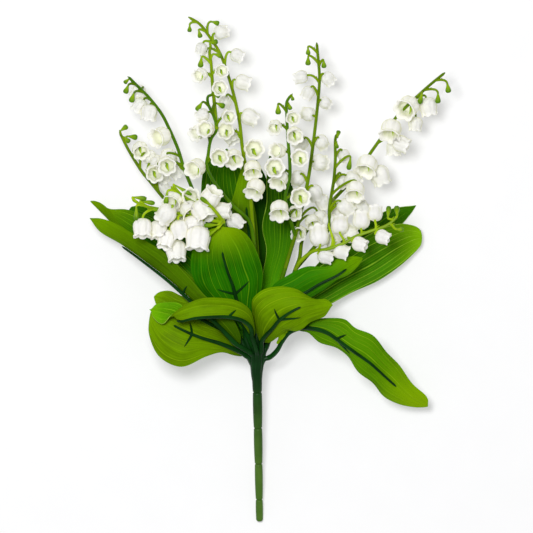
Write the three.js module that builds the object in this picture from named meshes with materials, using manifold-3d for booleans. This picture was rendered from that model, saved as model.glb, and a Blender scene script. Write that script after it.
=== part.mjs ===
// Artificial lily of the valley bush, lying on a table with its blooms pointing along +Y.
//
// A moulded pick carries sixteen strap leaves and five forked flower branches. Every leaf is a
// thin pressed blade held on a ribbed stalk, which has a pair of barbs on the blade's underside,
// and every flower branch has two or three sprays of hanging bells and small buds.
//
// Millimetres, +Z up. The table is z = 0, and the origin lies under the middle of the bush.

import * as THREE from 'three';
import Module from 'manifold-3d';

const wasm = await Module();
wasm.setup();

// Driving dimensions

const PICK = {
  tip: [-8, -177, 1.9],
  crown: [-10, -61, 32],
  tipRadius: 2.5,
  topRadius: 3.7,
  grooves: [16, 42, 68, 94],
  grooveDepth: 0.5,
  swellFrom: 0.15,
  swellTo: 0.85,
  sides: 8,
  hubBase: [-10, -77, 27.5],
  hubBaseRadius: 3.3,
  hubRadius: 6,
  hubDome: 3,
  socketRadius: 2,
  socketSides: 4,
};
const CROWN = [-10, -63, 32];

const GAP = 0.3;

const BLADE = {
  thickness: 0.7,
  bulge: 0.1,
  wave: 0.7,
  waves: 2.5,
  columns: [-1, -0.5, 0, 0.5, 1],
};

const STALK = {
  rootRadius: 1.55,
  endRadius: 0.5,
  ribStart: 0.03,
  ribEnd: 0.7,
  ribPoints: 9,
  barbAt: 0.42,
  barbReach: 0.1,
  barbSpread: 0.32,
  barbRadius: 0.8,
  gap: 0.5,
  steps: 8,
  sides: 4,
};

const BRANCH = {
  socket: 20,
  rootRadius: 1.7,
  forkRadius: 1.35,
  tipRadius: 0.95,
  steps: 5,
  sides: 4,
};

const PEDICEL = {
  rootRadius: 0.4,
  radius: 0.85,
  setback: 0.35,
  arch: 0.4,
  steps: 1,
  sides: 3,
};

// A bell's outside, then its hollow: the depth below its top and the radius there.
const BELL = {
  length: 12,
  lobes: 6,
  shoulder: [2.3, 5.7],
  lobeTip: [11.6, 6.7],
  lobeNotch: [9.9, 5.4],
  ceiling: 2.6,
};

const BUD = {
  length: 6,
  sides: 4,
  neck: [1.5, 1.3],
  belly: [4.8, 2.6],
};

// Where the pieces lie

// Each blade hangs on three rails from base to tip: its near edge, its keel and its far edge. Its
// stalk comes from the crown. The near half shows its underside or its upper side from above.
const LEAVES = [
  {
    name: 'front_left',
    shows: 'under',
    socket: 11,
    stalk: [
      [-10, -58, 39], [-12, -51, 45],
    ],
    near: [
      [-11, -47, 46], [-12, -37, 51], [-15, -28, 54], [-23, -22, 54], [-36, -20, 56],
      [-50, -21, 57], [-62, -26, 58], [-70, -33, 57], [-76, -38, 53], [-82, -34, 49],
      [-84, -29, 47],
    ],
    keel: [
      [-13, -48, 45], [-14, -40, 50], [-20, -35, 55], [-30, -33, 59], [-42, -33, 61.5],
      [-54, -34, 61.5], [-64, -35, 59], [-69, -32, 54], [-76, -30, 50], [-81, -29, 48],
      [-85, -28, 47],
    ],
    far: [
      [-14, -47, 45], [-18, -40, 49], [-23, -34, 53], [-31, -30, 55], [-43, -32, 55],
      [-54, -34, 55], [-59, -30, 49], [-64, -24, 46], [-74, -23, 46], [-80, -24, 46],
      [-84, -28, 47],
    ],
  },
  {
    name: 'lower_left',
    shows: 'under',
    socket: 9,
    stalk: [
      [-15, -62, 34],
    ],
    near: [
      [-19, -57, 34], [-27, -49, 34], [-37, -42, 36], [-50, -37, 38], [-59, -33, 41],
      [-69, -29, 41], [-77, -28, 40], [-83, -29, 39],
    ],
    keel: [
      [-20, -59, 35], [-27, -56, 38], [-37, -52, 42], [-50, -48, 46], [-61, -43, 48],
      [-72, -37, 47], [-79, -33, 44], [-84, -30, 40],
    ],
    far: [
      [-19, -61, 34], [-26, -60, 36], [-34, -58, 39], [-46, -61, 44], [-63, -68, 46],
      [-78, -61, 45], [-85, -46, 43], [-85, -32, 40],
    ],
  },
  {
    name: 'long_left',
    shows: 'under',
    socket: 10,
    stalk: [
      [-15, -58, 39],
    ],
    near: [
      [-20, -50, 46], [-24, -39, 48], [-32, -27, 50], [-44, -20, 50], [-56, -6, 47], [-74, 11, 43],
      [-93, 23, 36], [-113, 34, 27], [-126, 37, 20],
    ],
    keel: [
      [-22, -52, 44], [-30, -44, 46], [-41, -33, 47], [-55, -21, 44], [-71, -7, 38], [-88, 6, 33],
      [-105, 18, 27], [-120, 27, 22], [-127, 36, 19],
    ],
    far: [
      [-21, -50, 43], [-28, -40, 42], [-38, -27, 41], [-52, -16, 37], [-66, -2, 31], [-85, 14, 26],
      [-102, 23, 22], [-118, 31, 19], [-126, 35, 18],
    ],
  },
  {
    name: 'back_left',
    shows: 'under',
    socket: 10,
    stalk: [
      [-15, -59, 26],
    ],
    near: [
      [-18, -51, 30], [-29, -37, 29], [-42, -20, 27], [-57, -4, 24], [-74, 12, 20], [-91, 21, 16],
      [-105, 30, 11], [-116, 44, 4], [-124, 49, 0.6],
    ],
    keel: [
      [-19, -53, 28], [-32, -41, 25], [-48, -26, 21], [-65, -8, 17], [-83, 9, 13], [-99, 21, 10],
      [-113, 34, 5], [-122, 43, 1.8], [-127, 48, 0.3],
    ],
    far: [
      [-15, -49, 29], [-23, -34, 26], [-34, -16, 22], [-46, 3, 17], [-62, 21, 12], [-81, 34, 7],
      [-101, 42, 3], [-114, 43, 1.4], [-122, 48, 0.4],
    ],
  },
  {
    name: 'under_left',
    shows: 'upper',
    socket: 12,
    stalk: [
      [-13, -60, 24], [-15, -53, 17],
    ],
    near: [
      [-18, -45, 20], [-29, -32, 15], [-44, -14, 10], [-62, 5, 7], [-80, 22, 4], [-93, 33, 3],
      [-102, 42, 2],
    ],
    keel: [
      [-17, -45, 20], [-24, -30, 15], [-36, -11, 10], [-51, 10, 6], [-69, 28, 4], [-85, 40, 3],
      [-98, 44, 2],
    ],
    far: [
      [-15, -44, 20], [-19, -28, 15], [-27, -7, 10], [-41, 15, 6], [-58, 32, 4], [-74, 42, 3],
      [-94, 46, 2],
    ],
  },
  {
    name: 'behind_left',
    shows: 'under',
    socket: 9,
    stalk: [
      [-15, -59, 31],
    ],
    near: [
      [-19, -50, 31], [-27, -39, 32], [-40, -28, 31], [-52, -21, 31], [-62, -19, 31],
      [-71, -15, 30], [-80, -16, 29],
    ],
    keel: [
      [-20, -52, 30], [-30, -45, 29], [-44, -37, 29], [-57, -30, 29], [-67, -25, 29],
      [-76, -21, 29], [-82, -19, 29],
    ],
    far: [
      [-21, -54, 29], [-31, -51, 28], [-47, -44, 28], [-60, -37, 28], [-71, -32, 28],
      [-78, -27, 28], [-82, -22, 29],
    ],
  },
  {
    name: 'front_centre',
    shows: 'under',
    socket: 12,
    stalk: [
      [-13, -54, 37],
    ],
    near: [
      [-19, -44, 38], [-27, -34, 40], [-41, -23, 44], [-52, -11, 46], [-56, 3, 48], [-54, 16, 51],
      [-46, 26, 56], [-36, 30, 60],
    ],
    keel: [
      [-17, -44, 38], [-20, -34, 42], [-24, -21, 47], [-27, -10, 52], [-31, 1, 57], [-34, 12, 60],
      [-35, 22, 61], [-34, 30, 60.5],
    ],
    far: [
      [-15, -44, 39], [-13, -33, 43], [-8, -20, 45], [-6, -7, 47], [-7, 4, 49], [-13, 19, 52],
      [-22, 28, 56], [-33, 30, 60],
    ],
  },
  {
    name: 'front_right',
    shows: 'under',
    socket: 10,
    stalk: [
      [-7, -58, 38],
    ],
    near: [
      [-8, -51, 40], [-10, -42, 43], [-13, -29, 48], [-13, -21, 54], [-5, -14, 56], [6, -12, 57],
      [18, -14, 57], [24, -17, 57], [31, -21, 56.5], [38, -21, 55.5], [42, -23, 54],
    ],
    keel: [
      [-6, -51, 41], [-4, -47, 45], [1, -41, 51], [6, -35, 56], [13, -30, 60], [21, -26, 62],
      [30, -24, 60], [38, -24, 57], [43, -25, 54],
    ],
    far: [
      [-4, -51, 42], [-1, -51, 44], [5, -47, 47], [11, -43, 49], [17, -43, 52], [22, -41, 54],
      [27, -37, 55], [32, -35, 55], [37, -33, 55], [40, -29, 54.5], [42, -26, 54],
    ],
  },
  {
    name: 'tall_left',
    shows: 'upper',
    socket: 13,
    stalk: [
      [-11, -56, 28], [-13, -48, 25],
    ],
    near: [
      [-17, -42, 26], [-23, -21, 23], [-32, 0, 19], [-41, 21, 15], [-48, 40, 11], [-49, 56, 8],
      [-46, 73, 4], [-34, 84, 0.6],
    ],
    keel: [
      [-15, -42, 26], [-16, -21, 23], [-20, 0, 19], [-24, 21, 15], [-29, 40, 11], [-34, 57, 8],
      [-34, 71, 3.5], [-31, 85, 0.3],
    ],
    far: [
      [-13, -42, 26], [-12, -21, 23], [-11, 0, 19], [-12, 21, 15], [-15, 40, 11], [-18, 57, 8],
      [-22, 72, 4], [-29, 84, 0.6],
    ],
  },
  {
    name: 'tall_narrow',
    shows: 'under',
    socket: 14,
    stalk: [
      [-10, -53, 31], [-10, -47, 30],
    ],
    near: [
      [-13, -41, 28], [-16, -21, 26], [-20, 0, 24], [-24, 21, 22], [-29, 40, 19], [-25, 56, 17],
      [-20, 74, 14],
    ],
    keel: [
      [-11, -41, 29], [-12, -21, 27], [-13, 0, 25], [-15, 21, 23], [-17, 40, 20], [-18, 57, 17],
      [-19, 75, 14],
    ],
    far: [
      [-10, -41, 29], [-8, -21, 27], [-8, 0, 25], [-9, 21, 23], [-11, 40, 20], [-15, 57, 17],
      [-18, 74, 14],
    ],
  },
  {
    name: 'tall_right',
    shows: 'upper',
    socket: 13,
    stalk: [
      [-8, -56, 28], [-7, -49, 25],
    ],
    near: [
      [-7, -42, 26], [-7, -21, 24], [-6, -4, 22], [-3, 14, 19], [-6, 30, 16], [-3, 47, 12],
      [-3, 64, 5], [-2, 79, 0.6],
    ],
    keel: [
      [-6, -42, 26], [-2, -21, 23], [1, -4, 20], [6, 14, 17], [7, 31, 14], [6, 49, 10],
      [4, 64, 4.5], [-1, 81, 0.3],
    ],
    far: [
      [-4, -42, 26], [4, -21, 24], [10, -4, 22], [15, 14, 19], [18, 31, 16], [17, 49, 12],
      [12, 66, 5], [1, 79, 0.6],
    ],
  },
  {
    name: 'tall_back',
    shows: 'upper',
    socket: 13,
    stalk: [
      [-10, -58, 23], [-9, -49, 18],
    ],
    near: [
      [-10, -39, 21], [-13, -18, 16], [-15, 3, 12], [-17, 24, 9], [-18, 45, 6], [-16, 63, 3],
      [-12, 75, 0.8],
    ],
    keel: [
      [-9, -39, 21], [-9, -18, 16], [-8, 3, 12], [-8, 24, 9], [-9, 45, 6], [-10, 63, 3],
      [-10, 77, 0.5],
    ],
    far: [
      [-8, -39, 21], [-4, -18, 16], [-1, 3, 12], [1, 24, 9], [0, 45, 6], [-3, 63, 3],
      [-9, 75, 0.8],
    ],
  },
  {
    name: 'broad_right',
    shows: 'upper',
    socket: 12,
    stalk: [
      [-5, -58, 29], [-2, -51, 25],
    ],
    near: [
      [-1, -44, 28], [8, -23, 26], [20, -9, 24], [36, 3, 21], [55, 16, 18], [74, 27, 15],
      [91, 32, 12.5], [107, 29, 9.5],
    ],
    keel: [
      [0, -46, 27], [13, -30, 24], [31, -16, 21], [50, -4, 18], [69, 8, 15], [87, 18, 12],
      [99, 23, 9.5], [106, 23, 8.5],
    ],
    far: [
      [1, -47, 27], [18, -34, 24], [38, -26, 21], [57, -16, 18], [75, -8, 15], [91, 3, 12],
      [101, 12, 9.5], [107, 19, 8.5],
    ],
  },
  {
    name: 'back_right',
    shows: 'upper',
    socket: 12,
    stalk: [
      [-6, -57, 22], [-1, -47, 16],
    ],
    near: [
      [3, -37, 18], [15, -16, 13], [31, 2, 9], [48, 19, 6], [66, 32, 3.5], [83, 42, 1.8],
      [100, 45, 0.8],
    ],
    keel: [
      [4, -39, 18], [20, -20, 13], [38, -4, 9], [55, 12, 6], [73, 25, 3.5], [88, 37, 1.6],
      [102, 45, 0.3],
    ],
    far: [
      [6, -40, 18], [26, -23, 13], [46, -9, 9], [64, 5, 6], [80, 19, 3.5], [93, 33, 1.8],
      [102, 44, 0.6],
    ],
  },
  {
    name: 'mid_right',
    shows: 'under',
    socket: 12,
    stalk: [
      [-4, -56, 35], [-1, -47, 37],
    ],
    near: [
      [-2, -30, 40], [0, -13, 42], [12, -4, 43], [25, 2, 44], [39, 2, 45], [46, 7, 46],
      [55, 9, 45], [63, 9, 42],
    ],
    keel: [
      [0, -32, 40], [11, -23, 42], [24, -16, 43], [34, -10, 45], [46, -4, 46], [53, 1, 45],
      [59, 5, 43], [64, 8, 41],
    ],
    far: [
      [2, -33, 39], [16, -26, 40], [29, -19, 41], [38, -13, 42], [46, -7, 43], [54, -4, 42],
      [60, 2, 41], [64, 7, 40],
    ],
  },
  {
    name: 'lower_right',
    shows: 'under',
    socket: 9,
    stalk: [
      [-2, -62, 32], [4, -57, 37], [8, -50, 42], [13, -44, 46],
    ],
    near: [
      [18, -38, 44], [30, -35, 45], [42, -34, 45], [52, -35, 45], [59, -41, 44.5], [71, -46, 43],
      [81, -58, 38], [90, -67, 33], [99, -80, 27], [109, -89, 21], [111, -95, 17],
    ],
    keel: [
      [18, -41, 44], [28, -41, 46], [39, -44, 47], [49, -51, 47], [59, -58, 45.5], [69, -65, 42],
      [79, -74, 37], [88, -82, 31], [99, -91, 23], [110, -96, 17],
    ],
    far: [
      [19, -43, 43], [26, -44, 44], [34, -51, 44], [46, -55, 44], [54, -61, 42], [61, -71, 38],
      [71, -79, 33], [79, -89, 27], [89, -94, 22.5], [98, -96, 19], [108, -97, 16],
    ],
  },
];

// A branch's trunk leaves the crown, and its sprays fork from it. A bud or a bell is the x and y of
// its middle, its height over the stem, the direction in which it faces, and its size, where the
// sizes above are 1.
const FLOWER_BRANCHES = [
  {
    name: 'top_left',
    trunk: [
      [-10, -63, 32], [-10, -53, 35], [-10, -35, 38], [-10, -14, 39], [-11, 5, 39],
    ],
    sprays: [
      {
        name: 'long',
        stem: [
          [-11, 5, 39], [-15, 56, 38], [-20, 85, 38], [-22, 103, 37], [-26, 122, 35.5],
          [-31, 139, 34], [-36, 152, 32.5], [-43, 163, 31], [-50, 172, 30], [-58, 177, 29],
        ],
        buds: [
          [-57, 169, 0, 0, -1, 0, 0.7],
          [-50, 165, 0, 0.25, -0.95, 0, 0.8],
          [-39, 173, 0, 0.95, -0.25, 0, 0.8],
        ],
        bells: [
          [-35, 166, -2, 0.8, 0.1, -0.45, 0.85],
          [-49, 155, 0, -0.35, -0.9, -0.2, 0.68],
          [-46, 149, -8, -0.1, -0.9, -0.2, 0.66],
          [-24, 150, 0, 0.85, -0.45, -0.2, 0.78],
          [-20, 131, 0, 0.9, -0.35, -0.2, 0.9],
          [-15, 107, 0, 0.85, -0.4, -0.25, 1],
          [-32, 117, -7, -0.15, -0.9, -0.2, 0.75],
          [-32, 97, 9, -0.1, -0.1, 0.95, 0.98],
          [-28, 93, -3, 0.35, -0.7, 0.3, 0.92],
          [-12, 84, 9, 0.2, -0.05, 0.95, 1.1],
          [-13, 70, 9, 0, -0.75, 0.65, 1],
          [-11, 57, 9, -0.35, -0.75, 0.6, 1.08],
        ],
      },
      {
        name: 'front',
        stem: [
          [-11, 5, 39], [-15, 33, 42], [-27, 45, 46], [-41, 63, 51], [-45, 73, 52], [-44, 80, 52],
          [-42, 91, 51.5], [-38, 98, 51], [-40, 107, 52], [-44, 116, 53], [-44, 121, 54],
          [-41, 122, 54],
        ],
        buds: [
          [-38, 122, 0, 0.9, -0.4, 0, 0.85],
          [-50, 114, 0, -0.5, -0.8, 0, 1],
          [-35, 115, 0, 0.85, -0.35, 0, 1],
        ],
        bells: [
          [-48, 108, 2, -0.75, -0.35, -0.2, 0.78],
          [-51, 96, -2, -0.55, -0.4, 0.7, 0.85],
          [-45, 98, 8, -0.25, 0.05, 0.95, 0.92],
          [-30, 107, 8, 0.15, -0.25, 0.95, 0.8],
          [-36, 79, 11, 0.1, -0.1, 0.97, 1],
          [-26, 78, 4, 0.2, -0.55, 0.8, 1],
          [-52, 71, 4, -0.45, -0.35, 0.8, 1.05],
        ],
      },
      {
        name: 'inner',
        stem: [
          [-38, 98, 51], [-39, 110, 50], [-41, 131, 48], [-42, 145, 47], [-43, 152, 46],
          [-42, 157, 46],
        ],
        buds: [
          [-40, 159, 0, 0.85, 0.25, 0, 0.8],
          [-37, 150, 0, 0.8, -0.2, 0, 0.85],
          [-49, 145, 0, -0.1, -0.95, 0, 1],
        ],
        bells: [
          [-49, 136, 5, -0.45, -0.35, 0.8, 0.78],
          [-35, 139, 8, 0.1, -0.15, 0.97, 0.76],
          [-36, 127, 7, 0.1, -0.15, 0.97, 0.86],
        ],
      },
    ],
  },
  {
    name: 'centre',
    trunk: [
      [-10, -63, 32], [-7, -53, 34], [-2, -37, 36], [4, -18, 38], [10, 1, 40],
    ],
    sprays: [
      {
        name: 'tall',
        stem: [
          [10, 1, 40], [14, 14, 41], [17, 24, 42], [22, 45, 42], [26, 63, 41], [29, 84, 39.5],
          [31, 100, 38.5], [33, 119, 37], [34, 134, 36], [33, 148, 35], [32, 159, 34],
        ],
        buds: [
          [26, 153, 0, 0.05, -1, 0, 0.75],
          [26, 146, 0, 0, -1, 0, 0.9],
          [37, 144, 0, 0.1, -1, 0, 0.8],
        ],
        bells: [
          [21, 135, -2, -0.88, -0.2, -0.35, 0.8],
          [26, 124, -2, -0.45, -0.8, -0.3, 0.75],
          [40, 134, -2, 0.65, -0.6, -0.4, 0.78],
          [38, 117, -3, 0.7, -0.35, -0.55, 0.72],
          [26, 109, -4, -0.6, 0.2, -0.7, 0.85],
          [35, 89, -5, 0.3, -0.6, -0.65, 0.85],
          [21, 89, -7, -0.4, -0.5, -0.6, 0.85],
          [34, 75, -5, 0.7, -0.1, -0.6, 0.95],
          [19, 64, -7, -0.3, -0.5, -0.75, 0.9],
          [31, 54, -4, 0.3, -0.75, -0.45, 0.88],
          [36, 48, -10, 0.4, -0.7, -0.5, 0.85],
          [29, 33, -4, 0.2, -0.5, 0.5, 0.85],
          [20, 26, -3, -0.1, -0.3, 0.9, 0.85],
          [34, 37, -12, 0.3, -0.7, -0.3, 0.8],
        ],
      },
      {
        name: 'short',
        stem: [
          [17, 24, 42], [11, 43, 53], [10, 51, 54], [13, 64, 54], [13, 77, 54], [12, 89, 53],
          [11, 108, 52], [11, 117, 51.5], [14, 122, 51],
        ],
        buds: [
          [15, 120, 0, 0.2, -1, 0, 0.6],
          [13, 114, 0, 0.3, -0.9, 0, 0.7],
          [5, 112, 0, 0.05, -1, 0, 1],
        ],
        bells: [
          [3, 100, 3, -0.1, -0.45, 0.85, 0.78],
          [15, 106, 9, 0.1, -0.2, 0.97, 0.78],
          [16, 94, 7, 0.05, -0.4, 0.9, 0.92],
          [5, 83, 4, -0.55, 0.05, 0.8, 0.86],
          [2, 71, 8, 0.12, -0.05, 0.98, 1.1],
          [6, 63, 0, -0.3, -0.7, 0.6, 1],
          [20, 78, 7, 0, -0.05, 1, 0.98],
          [20, 51, 8, 0.05, -0.12, 0.98, 1.1],
          [6, 42, 8, 0, -0.7, 0.7, 1.08],
          [17, 40, -2, -0.15, -0.4, 0.85, 0.8],
        ],
      },
    ],
  },
  {
    name: 'right',
    trunk: [
      [-10, -63, 32], [-4, -54, 33], [4, -36, 33], [11, -18, 35], [17, 0, 38],
    ],
    sprays: [
      {
        name: 'inner',
        stem: [
          [17, 0, 38], [29, 14, 43], [35, 21, 44], [40, 28, 45], [41, 44, 45], [44, 63, 45],
          [45, 77, 45], [45, 91, 45], [46, 95, 45],
        ],
        buds: [
          [47, 95, 1, 0.2, 0.95, 0.1, 0.8],
          [46, 87, 2, 0.1, -0.95, 0.2, 0.65],
          [55, 74, 2, -0.15, -0.95, 0.1, 1.3],
        ],
        bells: [
          [51, 80, -8, 0.3, -0.7, -0.5, 0.72],
          [50, 62, -9, 0.2, -0.9, -0.3, 0.8],
          [57, 63, -6, 0.75, -0.5, -0.35, 0.95],
          [59, 55, 7, -0.1, -0.75, 0.55, 1.08],
          [52, 44, 0, 0.55, -0.6, -0.5, 0.95],
          [63, 44, -11, 0.6, -0.5, -0.5, 0.9],
          [46, 42, -15, 0.2, -0.9, -0.2, 0.85],
        ],
      },
      {
        name: 'outer',
        stem: [
          [17, 0, 38], [20, 8, 34], [22, 21, 27], [29, 33, 24], [40, 45, 24], [61, 68, 30],
          [70, 82, 30], [80, 96, 31], [88, 107, 32], [101, 120, 32], [111, 129, 33],
          [122, 138, 33],
        ],
        buds: [
          [124, 127, 0, 0.15, -1, 0, 1],
          [117, 120, 0, 0, -1, 0, 1.05],
          [105, 120, 5, -0.25, -0.95, 0.1, 1.15],
        ],
        bells: [
          [96, 114, 6, -0.45, -0.4, 0.75, 1.25],
          [110, 114, -3, 0.15, -0.75, 0, 1.1],
          [101, 102, -2, -0.1, -0.98, 0.05, 0.85],
          [84, 98, 8, -0.2, -0.75, 0.55, 1.2],
          [86, 85, -7, -0.1, -0.95, 0, 0.9],
          [91, 88, 4, 0.8, -0.35, 0.1, 0.98],
          [67, 73, 8, -0.25, -0.75, 0.55, 1.2],
          [76, 66, -2, 0.35, -0.85, -0.15, 1.2],
        ],
      },
      {
        name: 'low',
        stem: [
          [17, 0, 38], [20, 5, 44], [24, 9, 47], [30, 13, 50], [38, 14, 53], [50, 18, 55],
          [59, 23, 56], [70, 27, 57], [79, 30, 57], [84, 33, 57], [88, 37, 57],
        ],
        buds: [
          [82, 40, 1, 0.1, 0.98, 0, 1.2],
          [88, 41, 1, 0, 0.95, 0.1, 1.1],
          [90, 28, 0, 0.99, -0.05, 0, 0.7],
        ],
        bells: [
          [78, 23, 3, 0.92, -0.3, 0.15, 0.85],
          [62, 18, 4, 0.92, -0.25, 0.15, 0.88],
          [49, 13, -3, 0.9, -0.3, 0, 0.9],
          [38, 9, -3, 0.9, -0.35, -0.1, 0.9],
          [34, 23, 0, -0.05, 0.75, -0.6, 1.15],
          [48, 31, -2, 0, 0.75, -0.6, 1.02],
          [63, 34, -2, 0, 0.85, -0.45, 0.98],
          [73, 39, -3, 0.05, 0.85, -0.5, 0.85],
          [55, 25, -9, 0.2, 0.4, -0.8, 0.95],
          [43, 20, -13, 0.1, -0.5, -0.6, 0.85],
          [41, 34, -14, 0.1, 0.3, -0.8, 0.85],
        ],
      },
    ],
  },
  {
    name: 'left',
    trunk: [
      [-10, -63, 32], [-14, -54, 31], [-20, -37, 33], [-27, -21, 35], [-37, -4, 36], [-46, 14, 35],
    ],
    sprays: [
      {
        name: 'inner',
        stem: [
          [-46, 14, 35], [-50, 40, 39], [-55, 56, 40], [-61, 71, 40], [-65, 84, 40], [-71, 98, 40],
          [-76, 108, 40], [-81, 115, 40], [-86, 121, 40], [-93, 128, 40], [-100, 135, 40],
        ],
        buds: [
          [-101, 132, -1, -0.7, -0.6, 0, 0.7],
          [-101, 126, 1, -0.35, -0.95, 0, 0.95],
          [-97, 120, 2, -0.3, -0.95, 0, 1.1],
        ],
        bells: [
          [-93, 124, -9, -0.5, -0.5, -0.5, 0.9],
          [-92, 115, -5, -0.5, -0.7, -0.2, 0.85],
          [-85, 110, -1, -0.1, -0.9, -0.1, 0.95],
          [-77, 93, 4, -0.65, -0.25, 0.65, 1.1],
          [-72, 79, -7, 0.1, -0.3, -0.8, 1],
          [-73, 73, 8, 0.1, -0.3, 0.9, 1],
          [-67, 69, -4, 0.5, -0.7, -0.2, 0.9],
        ],
      },
      {
        name: 'outer',
        stem: [
          [-46, 14, 35], [-53, 24, 33], [-64, 38, 30], [-76, 51, 27], [-85, 62, 25], [-90, 68, 25],
          [-94, 74, 25], [-100, 84, 25], [-106, 96, 25],
        ],
        buds: [
          [-103, 99, 1, 0.7, 0.5, 0, 0.9],
          [-97, 93, 1, 0.9, -0.1, 0, 1],
          [-101, 91, 2, 0.6, -0.5, 0, 0.8],
        ],
        bells: [
          [-92, 84, 3, 0.1, -0.5, 0.8, 0.92],
          [-85, 79, -3, 0.5, -0.4, -0.6, 0.85],
          [-82, 68, 7, 0.1, -0.15, 0.95, 0.98],
          [-76, 65, -3, 0.4, -0.8, -0.2, 0.85],
          [-79, 75, 5, 0.5, -0.2, 0.5, 0.85],
          [-76, 58, -6, 0.5, -0.7, 0, 0.75],
        ],
      },
    ],
  },
  {
    name: 'front',
    trunk: [
      [-10, -63, 32], [-12, -53, 34], [-15, -39, 36], [-20, -21, 39], [-25, -4, 46], [-29, 14, 51],
      [-32, 25, 54], [-33, 33, 60],
    ],
    sprays: [
      {
        name: 'upper',
        stem: [
          [-33, 33, 60], [-36, 37, 66], [-40, 42, 70], [-43, 45, 72],
        ],
        buds: [
          [-45, 47, 1, -0.75, 0.6, 0.1, 1.7],
          [-47, 24, 5, -0.95, -0.3, 0.1, 1.8],
          [-42, 25, 7, -0.8, -0.6, 0.1, 1.9],
          [-42, 31, 2, -1, -0.05, 0.1, 1.5],
        ],
        bells: [
          [-42, 50, -6, 0.5, 0.7, 0.35, 1.15],
          [-34, 41, -11, 0.8, 0, 0.1, 1],
          [-25, 33, -12, 0.7, -0.6, 0, 1],
        ],
      },
      {
        name: 'middle',
        stem: [
          [-33, 33, 60], [-41, 39, 57], [-51, 45, 54], [-61, 51, 56], [-70, 58, 60],
        ],
        buds: [
          [-73, 50, 1, -0.1, -1, 0, 1.25],
          [-62, 56, 1, 0.85, -0.5, 0, 2.1],
        ],
        bells: [
          [-68, 49, -3, -0.3, -0.5, 0.6, 1.05],
          [-57, 50, 1, 0.1, 0.2, 0.85, 1],
          [-57, 41, 4, 0.3, -0.6, 0.6, 1.1],
          [-48, 41, 8, 0.35, -0.8, 0.2, 1.3],
          [-64, 40, -7, -0.1, -0.6, 0.7, 1.05],
        ],
      },
      {
        name: 'low',
        stem: [
          [-33, 33, 60], [-46, 35, 56], [-60, 38, 56], [-73, 41, 60], [-83, 43, 68], [-92, 46, 72],
          [-97, 49, 72],
        ],
        buds: [
          [-92, 50, 0, 0.95, -0.1, 0, 1.4],
          [-86, 47, 0, 0.95, -0.15, 0, 1.6],
          [-94, 39, 0, 0, -1, 0, 1.6],
          [-81, 42, 1, 0.98, -0.15, 0, 1.5],
        ],
        bells: [
          [-90, 29, -3, -0.05, -0.97, 0.15, 1.12],
          [-79, 28, -1, 0.1, -0.95, 0.15, 1.05],
          [-73, 39, 12, -0.5, -0.55, -0.45, 1.1],
          [-64, 28, 8, 0.1, -0.8, -0.1, 1.1],
          [-73, 21, 3, -0.25, -0.85, 0.3, 1.1],
          [-66, 13, -3, 0.12, -0.95, 0.2, 1.25],
          [-54, 30, 6, -0.15, -0.9, 0.1, 1.25],
          [-51, 22, 10, -0.1, -0.98, 0.1, 1.42],
        ],
      },
    ],
  },
];

// Curves and frames

const vector = ([x, y, z]) => new THREE.Vector3(x, y, z);

const curveThrough = (points) => new THREE.CatmullRomCurve3(points);

// A frame at a point, whose side is the given one turned square to the way along.
function frameAt(point, along, side) {
  const square = side.clone().addScaledVector(along, -side.dot(along)).normalize();
  return { point, along, side: square, across: along.clone().cross(square) };
}

function chordAt(points, i) {
  const before = points[Math.max(0, i - 1)];
  const after = points[Math.min(points.length - 1, i + 1)];
  return after.clone().sub(before).normalize();
}

// A frame at each of a row of points, which turns about the row as little as it can.
function stations(points, ways = points.map((_, i) => chordAt(points, i))) {
  let side = new THREE.Vector3(0.36, 0.48, 0.8);
  return points.map((point, i) => {
    const frame = frameAt(point, ways[i], side);
    side = frame.side;
    return frame;
  });
}

// Evenly spaced frames on a curve's stretch from one length to another.
function stretch(curve, from, to, steps) {
  const length = curve.getLength();
  const lengths = Array.from({ length: steps + 1 }, (_, i) => from + ((to - from) * i) / steps);
  const shares = lengths.map((passed) => Math.min(1, passed / length));
  return stations(
    shares.map((u) => curve.getPointAt(u)),
    shares.map((u) => curve.getTangentAt(u)),
  );
}

const even = (count, radius, depth = 0) => Array(count).fill([depth, radius]);

// A ring of points round a station, anticlockwise about its direction. Each has a depth past the
// station and a radius.
function ring(station, spots) {
  return spots.map(([depth, radius], i) => {
    const angle = (2 * Math.PI * i) / spots.length;
    return station.point
      .clone()
      .addScaledVector(station.along, depth)
      .addScaledVector(station.side, radius * Math.cos(angle))
      .addScaledVector(station.across, radius * Math.sin(angle));
  });
}

// Solids

function solidOf(points, faces) {
  const vertProperties = new Float32Array(points.flatMap((p) => [p.x, p.y, p.z]));
  const triVerts = new Uint32Array(faces.flat());
  const solid = new wasm.Manifold(new wasm.Mesh({ numProp: 3, vertProperties, triVerts }));
  if (solid.volume() > 0) return solid;
  return solidOf(points, faces.map(([a, b, c]) => [a, c, b]));
}

// The faces between two rings of any two counts, whose points start at low and high.
function band(low, a, high, b) {
  if (b === 1) return Array.from({ length: a }, (_, i) => [low + i, low + ((i + 1) % a), high]);
  if (a === 1) return Array.from({ length: b }, (_, j) => [low, high + ((j + 1) % b), high + j]);
  const faces = [];
  let [i, j] = [0, 0];
  while (i < a || j < b) {
    if (i < a && (i + 1) / a <= (j + 1) / b) {
      faces.push([low + i, low + ((i + 1) % a), high + (j % b)]);
      i++;
    } else {
      faces.push([low + (i % a), high + ((j + 1) % b), high + j]);
      j++;
    }
  }
  return faces;
}

// The closed skin over a row of rings, with flat ends. A ring of one point is a pole.
function loft(rings) {
  const faces = [];
  let start = 0;
  for (let k = 0; k + 1 < rings.length; k++) {
    const next = start + rings[k].length;
    faces.push(...band(start, rings[k].length, next, rings[k + 1].length));
    start = next;
  }
  for (let i = 1; i + 1 < rings[0].length; i++) faces.push([0, i + 1, i]);
  for (let i = 1; i + 1 < rings.at(-1).length; i++) faces.push([start, start + i, start + i + 1]);
  return solidOf(rings.flat(), faces);
}

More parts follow.
